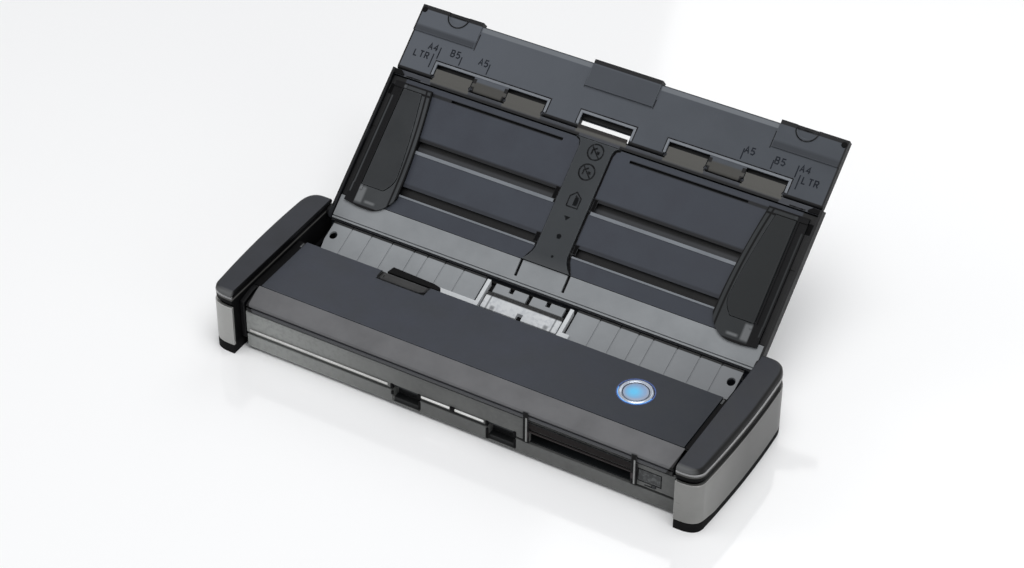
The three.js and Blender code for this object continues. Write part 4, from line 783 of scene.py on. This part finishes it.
# Rounded edges on the CAD nodes
def shading_group():
    """Geometry nodes that drop the flat normals and smooth every edge below a set angle."""
    group = bpy.data.node_groups.new("soft_shading", "GeometryNodeTree")
    for way in ("INPUT", "OUTPUT"):
        group.interface.new_socket("Geometry", in_out=way, socket_type="NodeSocketGeometry")
    add = group.nodes.new
    entry = add("NodeGroupInput")
    leave = add("NodeGroupOutput")
    normals = add("GeometryNodeSetMeshNormal")
    angle = add("GeometryNodeInputMeshEdgeAngle")
    sharp = add("FunctionNodeCompare")
    sharp.data_type = "FLOAT"
    sharp.operation = "GREATER_THAN"
    sharp.inputs["B"].default_value = SHARP_ANGLE
    link = group.links.new
    link(entry.outputs["Geometry"], normals.inputs["Mesh"])
    link(angle.outputs["Unsigned Angle"], sharp.inputs["A"])
    link(sharp.outputs["Result"], normals.inputs["Edge Sharpness"])
    normals.inputs["Remove Custom"].default_value = True
    link(normals.outputs["Mesh"], leave.inputs["Geometry"])
    return group


SOFT_SHADING = shading_group()


def bevel_edges(piece, radius, segments):
    """Rounds a piece's sharp edges with a modifier."""
    bevel = piece.modifiers.new("edges", "BEVEL")
    bevel.width = radius
    bevel.segments = segments
    bevel.limit_method = "ANGLE"
    bevel.angle_limit = SHARP_ANGLE


def round_edges(piece, radius):
    """Rounds a piece's edges with modifiers, which leave its own mesh as it is."""
    weld = piece.modifiers.new("weld", "WELD")
    weld.merge_threshold = 0.01 * MM
    flat = piece.modifiers.new("flat", "DECIMATE")
    flat.decimate_type = "DISSOLVE"
    flat.angle_limit = math.radians(0.6)
    bevel_edges(piece, radius, 3)
    shading = piece.modifiers.new("shading", "NODES")
    shading.node_group = SOFT_SHADING
    weighted = piece.modifiers.new("weighted", "WEIGHTED_NORMAL")
    weighted.keep_sharp = True


# Radii in millimetres, by the nodes' names without right_ or left_
EDGE_RADIUS = {
    "top_cover": 0.5,
    "cap_top": 0.9,
    "end_cap": 0.6,
    "side_panel": 0.6,
    "front_bevel": 0.35,
    "extension": 0.45,
    "tray_shell": 0.4,
    "tray_bridge": 0.35,
}
USUAL_RADIUS = 0.22

for node_name, node in NODES.items():
    kind = node_name.removeprefix("right_").removeprefix("left_")
    finish = NODE_FINISH.get(kind, FINISH[SLOT_OF[node_name]])
    if not node.material_slots:
        node.data.materials.append(finish)
    for material_slot in node.material_slots:
        material_slot.material = finish
    round_edges(node, EDGE_RADIUS.get(kind, USUAL_RADIUS) * MM)


# Detail pieces, each built from outlines carried between two heights of a flat frame
DESK_FRAME = Matrix.Scale(MM, 4) @ Matrix.Translation((0.0, BODY_SHIFT, 0.0))
TRAY_FRAME = DESK_FRAME @ Matrix.Translation((0.0, HINGE_Y, HINGE_Z)) @ Matrix.Rotation(TRAY_TILT, 4, "X")
FRONT_FRAME = DESK_FRAME @ Matrix.Translation((0.0, FRONT_Y, 0.0)) @ Matrix.Rotation(math.pi / 2, 4, "X")
REAR_FRAME = DESK_FRAME @ Matrix.Translation((0.0, REAR_Y, 0.0)) @ Matrix.Rotation(-math.pi / 2, 4, "X")


def rectangle(x0, x1, y0, y1):
    """A closed path round a rectangle."""
    return [(x0, y0), (x1, y0), (x1, y1), (x0, y1), (x0, y0)]


class Detail:
    """A small piece of the object, in millimetres of its own frame."""

    def __init__(self):
        self.mesh = bmesh.new()

    def prism(self, outline, low, high):
        """A flat outline carried from one height to another."""
        below = [self.mesh.verts.new((x, y, low)) for x, y in outline]
        above = [self.mesh.verts.new((x, y, high)) for x, y in outline]
        self.mesh.faces.new(below[::-1])
        self.mesh.faces.new(above)
        for i, corner in enumerate(below):
            after = (i + 1) % len(below)
            self.mesh.faces.new((corner, below[after], above[after], above[i]))
        return self

    def bar(self, x0, x1, y0, y1, low, high):
        """A block between two corners."""
        return self.prism(rectangle(x0, x1, y0, y1)[:-1], low, high)

    def stroke(self, path, width, low, high):
        """A line of this width along a path, with mitred corners."""
        left, right = [], []
        for i, point in enumerate(path):
            ahead = Vector(path[min(i + 1, len(path) - 1)]) - Vector(point)
            back = Vector(point) - Vector(path[max(i - 1, 0)])
            ahead = (ahead if ahead.length else back).normalized()
            back = (back if back.length else ahead).normalized()
            normal = Vector((-(ahead + back).y, (ahead + back).x)).normalized()
            reach = width / 2 / max(0.5, normal.dot(Vector((-ahead.y, ahead.x))))
            left.append(tuple(Vector(point) + normal * reach))
            right.append(tuple(Vector(point) - normal * reach))
        for i in range(len(path) - 1):
            self.prism([right[i], right[i + 1], left[i + 1], left[i]], low, high)
        return self

    def circle(self, x, y, radius, height, turns):
        """Points round x, y at these angles."""
        places = [(x + radius * math.cos(t), y + radius * math.sin(t), height) for t in turns]
        return [self.mesh.verts.new(place) for place in places]

    def disc(self, x, y, radius, low, high, steps=24):
        """A low round boss with a chamfered edge."""
        turns = [2 * math.pi * i / steps for i in range(steps)]
        ease = min(0.25 * radius, 0.5 * (high - low))
        rows = []
        for reach, height in ((radius, low), (radius, high - ease), (radius - ease, high)):
            rows.append(self.circle(x, y, reach, height, turns))
        self.mesh.faces.new(rows[0][::-1])
        self.mesh.faces.new(rows[-1])
        self.bridge(rows, steps)
        return self

    def ring(self, x, y, inner, outer, low, high, start=0.0, sweep=2 * math.pi, steps=48):
        """A flat ring, or an arc of one."""
        whole = abs(sweep - 2 * math.pi) < 1e-6
        count = steps if whole else steps + 1
        turns = [start + sweep * i / steps for i in range(count)]
        rows = []
        for reach, height in ((inner, low), (outer, low), (outer, high), (inner, high)):
            rows.append(self.circle(x, y, reach, height, turns))
        self.bridge([*rows, rows[0]], count if whole else steps, whole)
        if not whole:
            self.mesh.faces.new([row[0] for row in rows][::-1])
            self.mesh.faces.new([row[-1] for row in rows])
        return self

    def bridge(self, rows, steps, whole=True):
        """Faces between rows of points, closed round if they are whole."""
        for below, above in zip(rows, rows[1:]):
            for i in range(steps):
                after = (i + 1) % len(below) if whole else i + 1
                self.mesh.faces.new((below[i], below[after], above[after], above[i]))

    def make(self, name, body, slot, finish, place, soft=0.0):
        """Makes the piece an object that rides on a body."""
        bmesh.ops.recalc_face_normals(self.mesh, faces=self.mesh.faces)
        data = bpy.data.meshes.new(name)
        self.mesh.to_mesh(data)
        self.mesh.free()
        data.transform(place)
        data.materials.append(finish)
        piece = bpy.data.objects.new(name, data)
        bpy.context.scene.collection.objects.link(piece)
        if soft:
            bevel_edges(piece, soft * MM, 2)
        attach(piece, body)
        return piece


INK = moulded("ink", "#17191f", "#1d2027", 0.6, gloss=0.06)
BLACK_INK = moulded("black_ink", "#08090b", "#0e1012", 0.6, gloss=0.06)
DARK_LINE = moulded("dark_line", "#060607", "#0a0a0b", 0.6, gloss=0.04)
PALE_EDGE = moulded("pale_edge", "#71757b", "#7b7f85", 0.45)
GLOW = lit("glow", "#2f83cf", "#4a9be0", 0.6)
FAINT_GLOW = lit("faint_glow", "#142f63", "#1b3f80", 0.3)
INSET = moulded("inset", "#3b3d3e", "#48494a", 0.5, zones=[(mottle, "#6b6d6e")])
BLACK_PLASTIC = FINISH["black_plastic"]
STEEL = FINISH["steel"]

SINK = 0.2  # how far most pieces reach into the face that they stand on

# Letters as strokes in a field one high and one wide
GLYPHS = {
    "A": [[(0.0, 0.0), (0.5, 1.0), (1.0, 0.0)], [(0.2, 0.35), (0.8, 0.35)]],
    "B": [
        [(0.0, 0.0), (0.0, 1.0), (0.7, 1.0), (0.85, 0.76), (0.7, 0.52), (0.0, 0.52)],
        [(0.7, 0.52), (0.95, 0.27), (0.75, 0.0), (0.0, 0.0)],
    ],
    "L": [[(0.0, 1.0), (0.0, 0.0), (0.8, 0.0)]],
    "R": [
        [(0.0, 0.0), (0.0, 1.0), (0.7, 1.0), (0.9, 0.75), (0.7, 0.5), (0.0, 0.5)],
        [(0.45, 0.5), (0.95, 0.0)],
    ],
    "T": [[(0.0, 1.0), (1.0, 1.0)], [(0.5, 1.0), (0.5, 0.0)]],
    "4": [[(0.7, 0.0), (0.7, 1.0), (0.0, 0.35), (1.0, 0.35)]],
    "5": [
        [(0.9, 1.0), (0.1, 1.0), (0.05, 0.55), (0.6, 0.6), (0.95, 0.3), (0.6, 0.0), (0.0, 0.08)]
    ],
}
LETTER_STEP = 0.95  # from one letter to the next, to the letters' height
LETTER_WIDTH = 0.62
LETTER_STROKE = 0.21


def write(detail, words, x, y, height, low, high):
    """Words in plain strokes, centred on x."""
    step = height * LETTER_STEP
    start = x - (len(words) * step - 0.2 * height) / 2
    for i, letter in enumerate(words):
        for path in GLYPHS[letter]:
            line = [(start + i * step + px * height * LETTER_WIDTH, y + py * height) for px, py in path]
            detail.stroke(line, height * LETTER_STROKE, low, high)


WORD_HEIGHT = 3.5
SIZE_WORDS = (("A4", 110.0, 101.2), ("B5", 96.0, 101.2), ("A5", 78.8, 101.6), ("LTR", 115.0, 95.6))
SIZE_TICKS = ((105.8, 97.4, 104.0), (108.4, 91.6, 99.6), (92.2, 97.6, 102.6), (75.2, 97.6, 103.6))
HALF_TICK = 0.35


def size_marks():
    """Paper sizes and their tick marks, printed on the extension on both sides."""
    marks = Detail()
    low, high = FACE - 0.02, FACE + 0.03
    for side in SIDES:
        for words, x, y in SIZE_WORDS:
            write(marks, words, side * x, y, WORD_HEIGHT, low, high)
        for x, y0, y1 in SIZE_TICKS:
            marks.bar(side * x - HALF_TICK, side * x + HALF_TICK, y0, y1, low, high)
    marks.make("size_marks", "extension", "dark_plastic", INK, TRAY_FRAME)


def round_notches(x0, x1, out, foot, top):
    """A path round a group of notches, which are open at the foot."""
    return [(x0 - out, foot), (x0 - out, top), (x1 + out, top), (x1 + out, foot)]


def notch_rims():
    """A raised pale rim with a dark outline round each group of notches."""
    rims, lines = Detail(), Detail()
    groups = [(-MIDDLE_NOTCH, MIDDLE_NOTCH), NOTCHES, (-NOTCHES[1], -NOTCHES[0])]
    for x0, x1 in groups:
        rims.stroke(round_notches(x0, x1, 0.8, 88.4, 95.4), 1.3, FACE - SINK, FACE + 0.25)
        lines.stroke(round_notches(x0, x1, 1.7, 88.2, 96.4), 0.7, FACE - SINK, FACE + 0.04)
    rims.make("notch_rims", "extension", "slate_plastic", PALE_EDGE, TRAY_FRAME, 0.1)
    lines.make("rim_lines", "extension", "black_plastic", DARK_LINE, TRAY_FRAME)


def extension_tips():
    """Dark posts at the tip's corners, side lines at the tab and blocks, and a half ring on each block."""
    posts, lines = Detail(), Detail()
    low, high = FACE - SINK, FACE + 0.05
    for side in SIDES:
        posts.disc(side * 123.8, 121.2, 1.6, low, FACE + 1.3)
        lines.bar(side * 20.1, side * 20.5, 108.0, 113.5, low, high)
        lines.bar(side * 87.2, side * 87.7, 108.0, 117.5, low, high)
        lines.ring(side * 103.0, 122.8, 5.9, 6.5, FACE, FACE + 1.06, math.pi, math.pi)
        lines.bar(side * 97.4, side * 108.6, 121.9, 122.7, low, high)
    posts.make("corner_posts", "extension", "black_plastic", BLACK_PLASTIC, TRAY_FRAME)
    lines.make("tip_lines", "extension", "black_plastic", DARK_LINE, TRAY_FRAME)


CORNER_COVER = (
    (126.9, 79.0), (126.9, 85.4), (121.6, 85.4), (119.4, 83.6),
    (119.4, 82.7), (125.6, 82.7), (125.6, 79.0),
)


def tray_corners():
    """Black hinge covers at the tray's far corners, with a dark sheet of painted shadow in the recess
    inside each.
    """
    covers, recess = Detail(), Detail()
    for side in SIDES:
        covers.prism([(side * x, y) for x, y in CORNER_COVER], HEAD - 0.4, HEAD + 0.9)
        recess.bar(side * 118.6, side * 125.0, 71.0, 77.6, PANEL - 0.3, PANEL + 0.05)
        recess.bar(side * 109.0, side * 118.0, 82.6, 83.4, HEAD - 0.3, HEAD + 0.06)
    covers.make("tray_corners", "tray", "black_plastic", BLACK_PLASTIC, TRAY_FRAME, 0.25)
    recess.make("corner_recesses", "tray", "black_plastic", DARK_LINE, TRAY_FRAME)


CROSSED_SIGNS = ((0.7, 76.7), (0.5, 65.3))
SHEET_SIGN = (0.6, 48.6)
SHEET = [(-3.4, -3.4), (3.0, -3.4), (3.0, 2.2), (-0.4, 5.0), (-3.4, 2.2), (-3.4, -3.4)]


def bridge_marks():
    """Generic pictograms on the tray's bridge: two things not to do, a sheet, an arrow and two dots."""
    marks = Detail()
    low, high = HEAD - 0.06, HEAD + 0.05
    for x, y in CROSSED_SIGNS:
        marks.ring(x, y, 3.9, 4.8, low, high)
        marks.stroke([(x - 3.0, y + 3.0), (x + 3.0, y - 3.0)], 0.8, low, high)
        marks.stroke([(x - 1.9, y - 1.9), (x - 1.9, y + 0.9), (x + 0.3, y + 2.4)], 1.0, low, high)
        marks.bar(x + 0.6, x + 2.4, y - 1.0, y + 0.8, low, high)
    x, y = SHEET_SIGN
    marks.stroke([(x + px, y + py) for px, py in SHEET], 0.8, low, high)
    marks.prism([(x - 0.4, y - 2.4), (x + 2.2, y - 2.4), (x + 2.2, y + 2.0), (x - 0.4, y + 3.6)], low, high)
    marks.prism([(x - 0.3, y - 11.0), (x + 1.7, y - 8.6), (x - 2.3, y - 8.6)], low, high)
    marks.disc(0.4, 28.5, 1.5, low, high)
    marks.disc(1.4, 17.4, 0.8, low, high)
    marks.make("bridge_marks", "tray", "dark_plastic", BLACK_INK, TRAY_FRAME)


BRIDGE_FLANK = ((13.0, 81.7), (10.8, 80.6), (9.7, 77.4), (9.7, 22.0), (10.8, 17.6), (14.0, 11.4))
# the pale rims are painted highlights on the channels' lower edges
CHANNELS = ((20.5, 26.0, 0.7), (45.0, 52.0, 1.5))  # lower edge, upper edge and width of the pale rim


def tray_lines():
    """Shadow lines beside the bridge, and the pale lower edges of the panels' channels, painted as
    highlights.
    """
    dark, pale = Detail(), Detail()
    for side, width in ((1, 1.3), (-1, 0.5)):
        dark.stroke([(side * x, y) for x, y in BRIDGE_FLANK], width, PANEL - 0.4, PANEL + 0.06)
        for low, high, rim in CHANNELS:
            dark.bar(side * 9.4, side * 12.6, low + 1.6, high + 1.6, PANEL - 0.35, PANEL + 0.05)
            pale.bar(side * 11.0, side * 119.0, low - 0.3, low + rim, PANEL - 0.5, PANEL + 0.02)
    dark.make("bridge_lines", "tray", "black_plastic", DARK_LINE, TRAY_FRAME)
    pale.make("channel_edges", "tray", "slate_plastic", PALE_EDGE, TRAY_FRAME)


def button_parts():
    """The glow round the button's ring: a light crescent on its near side in a deep blue ring."""
    low, high = PANEL_Z - 0.3, PANEL_Z + 0.2
    start, sweep = math.radians(185), math.radians(170)
    near = Detail().ring(*BUTTON, 8.6, 9.3, low, high, start, sweep)
    near.make("button_glow", "front_cover", "blue_light", GLOW, DESK_FRAME)
    whole = Detail().ring(*BUTTON, 9.3, 9.9, low, high - 0.1)
    whole.make("button_halo", "front_cover", "blue_light", FAINT_GLOW, DESK_FRAME)


LEVER_GRIP = ((-72.4, 14.7), (-71.6, 19.6), (-46.0, 18.4), (-41.6, 17.2), (-41.6, 14.7))
LEVER_EDGE = ((-46.0, 14.2), (-46.4, 9.6), (-49.5, 7.6), (-72.0, 7.6), (-75.0, 9.4), (-75.2, 14.2))


def lever_parts():
    """The black grip behind the open lever and the dark outline of its scoop."""
    grip = Detail().prism(LEVER_GRIP, 31.6, PANEL_Z + 0.2)
    grip.make("lever_grip", "front_cover", "black_plastic", BLACK_PLASTIC, DESK_FRAME, 0.3)
    edge = Detail().stroke(LEVER_EDGE, 0.8, PANEL_Z - 0.5, PANEL_Z + 0.1)
    edge.make("lever_outline", "front_cover", "black_plastic", DARK_LINE, DESK_FRAME)


def panel_ends():
    """Black strips in the low steps at both ends of the top panel, with a short pale line on each."""
    strips, lines = Detail(), Detail()
    for side in SIDES:
        strips.bar(side * 122.5, side * 127.0, -27.6, 14.3, 32.7, 33.3)
        lines.bar(side * 122.7, side * 123.7, 9.8, 13.2, 33.25, 33.6)
    strips.make("panel_strips", "front_cover", "black_plastic", BLACK_PLASTIC, DESK_FRAME, 0.1)
    lines.make("panel_ticks", "front_cover", "bright_trim", INSET, DESK_FRAME, 0.05)


POCKET_EDGES = ((-19.7, 4.0), (19.7, 2.6), (35.7, 3.4), (-35.8, 7.0))  # each edge's x and its foot


def pocket_edges():
    """The finger pockets' black edges, on the cover and on the fascia under it."""
    upper, lower = Detail(), Detail()
    for x, foot in POCKET_EDGES:
        upper.bar(x - 0.7, x + 0.7, WALL_Z + 0.1, 14.2, -0.5, 0.6)
        lower.bar(x - 0.7, x + 0.7, foot, EXIT_Z - 0.3, -0.5, 0.2)
    upper.bar(-1.4, 1.4, 12.3, 14.4, -0.2, 1.1)
    upper.make("pocket_edges", "front_cover", "black_plastic", BLACK_PLASTIC, FRONT_FRAME, 0.15)
    lower.make("fascia_edges", "base", "black_plastic", BLACK_PLASTIC, FRONT_FRAME, 0.15)


def side_inset():
    """The mottled inset beside the card slot, in a dark outline with a short line under it."""
    inset = Detail().bar(104.8, 116.4, 14.8, 21.4, -0.4, 0.12)
    inset.make("side_inset", "front_cover", "bevel_grey", INSET, FRONT_FRAME, 0.1)
    lines = Detail().stroke(rectangle(104.3, 116.9, 14.3, 21.9), 0.6, -0.3, 0.06)
    lines.bar(108.0, 112.6, 12.2, 12.9, -0.3, 0.1)
    lines.make("inset_lines", "front_cover", "black_plastic", DARK_LINE, FRONT_FRAME)


VENTS = 9
VENT_STEP = 6.0
BEZELS = ((-84.0, 6.2, 3.6, 13.2), (-100.0, 6.6, 3.6, 15.2))  # middle, half width, foot and top
REAR_SCREWS = (-118.0, 4.0, 118.0)


def rear_parts():
    """Vent slots, a bezel round each socket and screws on the rear panel."""
    dark, steel = Detail(), Detail()
    for i in range(VENTS):
        x = 20.0 + VENT_STEP * i
        dark.bar(x, x + 3.6, -19.0, -12.0, -0.15, 0.05)
    for x, half, low, high in BEZELS:
        dark.stroke(rectangle(x - half, x + half, -high, -low), 0.5, -0.15, 0.06)
    dark.make("rear_vents", "base", "black_plastic", DARK_LINE, REAR_FRAME)
    for x in REAR_SCREWS:
        steel.disc(x, -9.0, 2.0, -SINK, 0.25)
    steel.make("rear_screws", "base", "steel", STEEL, REAR_FRAME)


def bottom_parts():
    """Screw heads and a bare framed field on the underside."""
    steel = Detail()
    for x in (-116.0, -40.0, 40.0, 116.0):
        for y in (-28.0, 36.0):
            steel.disc(x, y, 2.4, BOTTOM_Z - 0.3, BOTTOM_Z + 0.15)
    steel.make("bottom_screws", "base", "steel", STEEL, DESK_FRAME)
    field = Detail().stroke(rectangle(-30.0, 30.0, -12.0, 18.0), 0.8, BOTTOM_Z - SINK, BOTTOM_Z + 0.1)
    field.make("bottom_frame", "base", "black_plastic", PALE_EDGE, DESK_FRAME)


for build in (
    size_marks, notch_rims, extension_tips, tray_corners, bridge_marks, tray_lines, button_parts,
    lever_parts, panel_ends, pocket_edges, side_inset, rear_parts, bottom_parts,
):
    build()


# Camera, floor and light
def make_camera():
    """The camera at the photograph's place, with no shift."""
    data = bpy.data.cameras.new("photo_camera")
    data.sensor_width = SENSOR_WIDTH
    data.lens = FOCAL_PIXELS / PHOTO_WIDTH * SENSOR_WIDTH
    data.clip_start, data.clip_end = 0.05, 100.0
    back = Vector(
        (
            math.sin(CAMERA_AZIMUTH) * math.cos(CAMERA_ELEVATION),
            -math.cos(CAMERA_AZIMUTH) * math.cos(CAMERA_ELEVATION),
            math.sin(CAMERA_ELEVATION),
        )
    )
    level = (-back).cross(Vector((0, 0, 1))).normalized()
    upright = level.cross(-back)
    right = math.cos(CAMERA_ROLL) * level + math.sin(CAMERA_ROLL) * upright
    up = math.cos(CAMERA_ROLL) * upright - math.sin(CAMERA_ROLL) * level
    camera = bpy.data.objects.new("photo_camera", data)
    turn = Matrix((right, up, back)).transposed().to_4x4()
    place = CAMERA_TARGET + back * CAMERA_DISTANCE
    camera.matrix_world = Matrix.Translation(place) @ turn
    bpy.context.scene.collection.objects.link(camera)
    bpy.context.scene.camera = camera


def make_world():
    """Even studio light, and plain white where the camera, gloss and glass look past the object."""
    world = bpy.data.worlds.new("studio")
    world.use_nodes = True
    tree = world.node_tree
    tree.nodes.clear()
    path = tree.nodes.new("ShaderNodeLightPath")
    light = tree.nodes.new("ShaderNodeBackground")
    light.inputs["Color"].default_value = (0.96, 0.98, 1.0, 1.0)
    light.inputs["Strength"].default_value = WORLD_LEVEL
    white = tree.nodes.new("ShaderNodeBackground")
    white.inputs["Color"].default_value = (1.0, 1.0, 1.0, 1.0)
    white.inputs["Strength"].default_value = 1.0
    seen = path.outputs["Is Camera Ray"]
    for ray in ("Is Glossy Ray", "Is Transmission Ray"):
        more = tree.nodes.new("ShaderNodeMath")
        more.operation = "MAXIMUM"
        tree.links.new(seen, more.inputs[0])
        tree.links.new(path.outputs[ray], more.inputs[1])
        seen = more.outputs[0]
    mix = tree.nodes.new("ShaderNodeMixShader")
    tree.links.new(seen, mix.inputs["Fac"])
    tree.links.new(light.outputs[0], mix.inputs[1])
    tree.links.new(white.outputs[0], mix.inputs[2])
    output = tree.nodes.new("ShaderNodeOutputWorld")
    tree.links.new(mix.outputs[0], output.inputs["Surface"])
    bpy.context.scene.world = world


def make_lamp(name, place, size, power):
    """A soft box that faces the object's middle."""
    data = bpy.data.lights.new(name, "AREA")
    data.shape = "SQUARE"
    data.size = size
    data.energy = power
    lamp = bpy.data.objects.new(name, data)
    lamp.location = place
    lamp.rotation_mode = "QUATERNION"
    lamp.rotation_quaternion = (-Vector(place)).to_track_quat("-Z", "Y")
    bpy.context.scene.collection.objects.link(lamp)


def make_floor():
    """A plain pale floor that keeps the shadow and a faint mirror image."""
    mesh = bpy.data.meshes.new("floor")
    turns = ((-1, -1), (1, -1), (1, 1), (-1, 1))
    corners = [(x * FLOOR_REACH, y * FLOOR_REACH, 0.0) for x, y in turns]
    mesh.from_pydata(corners, [], [(0, 1, 2, 3)])
    floor = bpy.data.objects.new("floor", mesh)
    bpy.context.scene.collection.objects.link(floor)
    g = Graph("floor")
    cloud = g.noise(g.place(), 3.0, 2.0)
    shine = g.ramp(cloud, 0.3, 0.7, 0.06, 0.1)
    tone = g.blend(cloud, linear("#fefefe"), linear("#fcfcfd"))
    mesh.materials.append(g.surface(Base_Color=tone, Roughness=shine))


make_camera()
make_world()
make_floor()
for lamp_name, settings in LAMPS.items():
    make_lamp(lamp_name, *settings)
bpy.context.scene.view_settings.view_transform = "Standard"
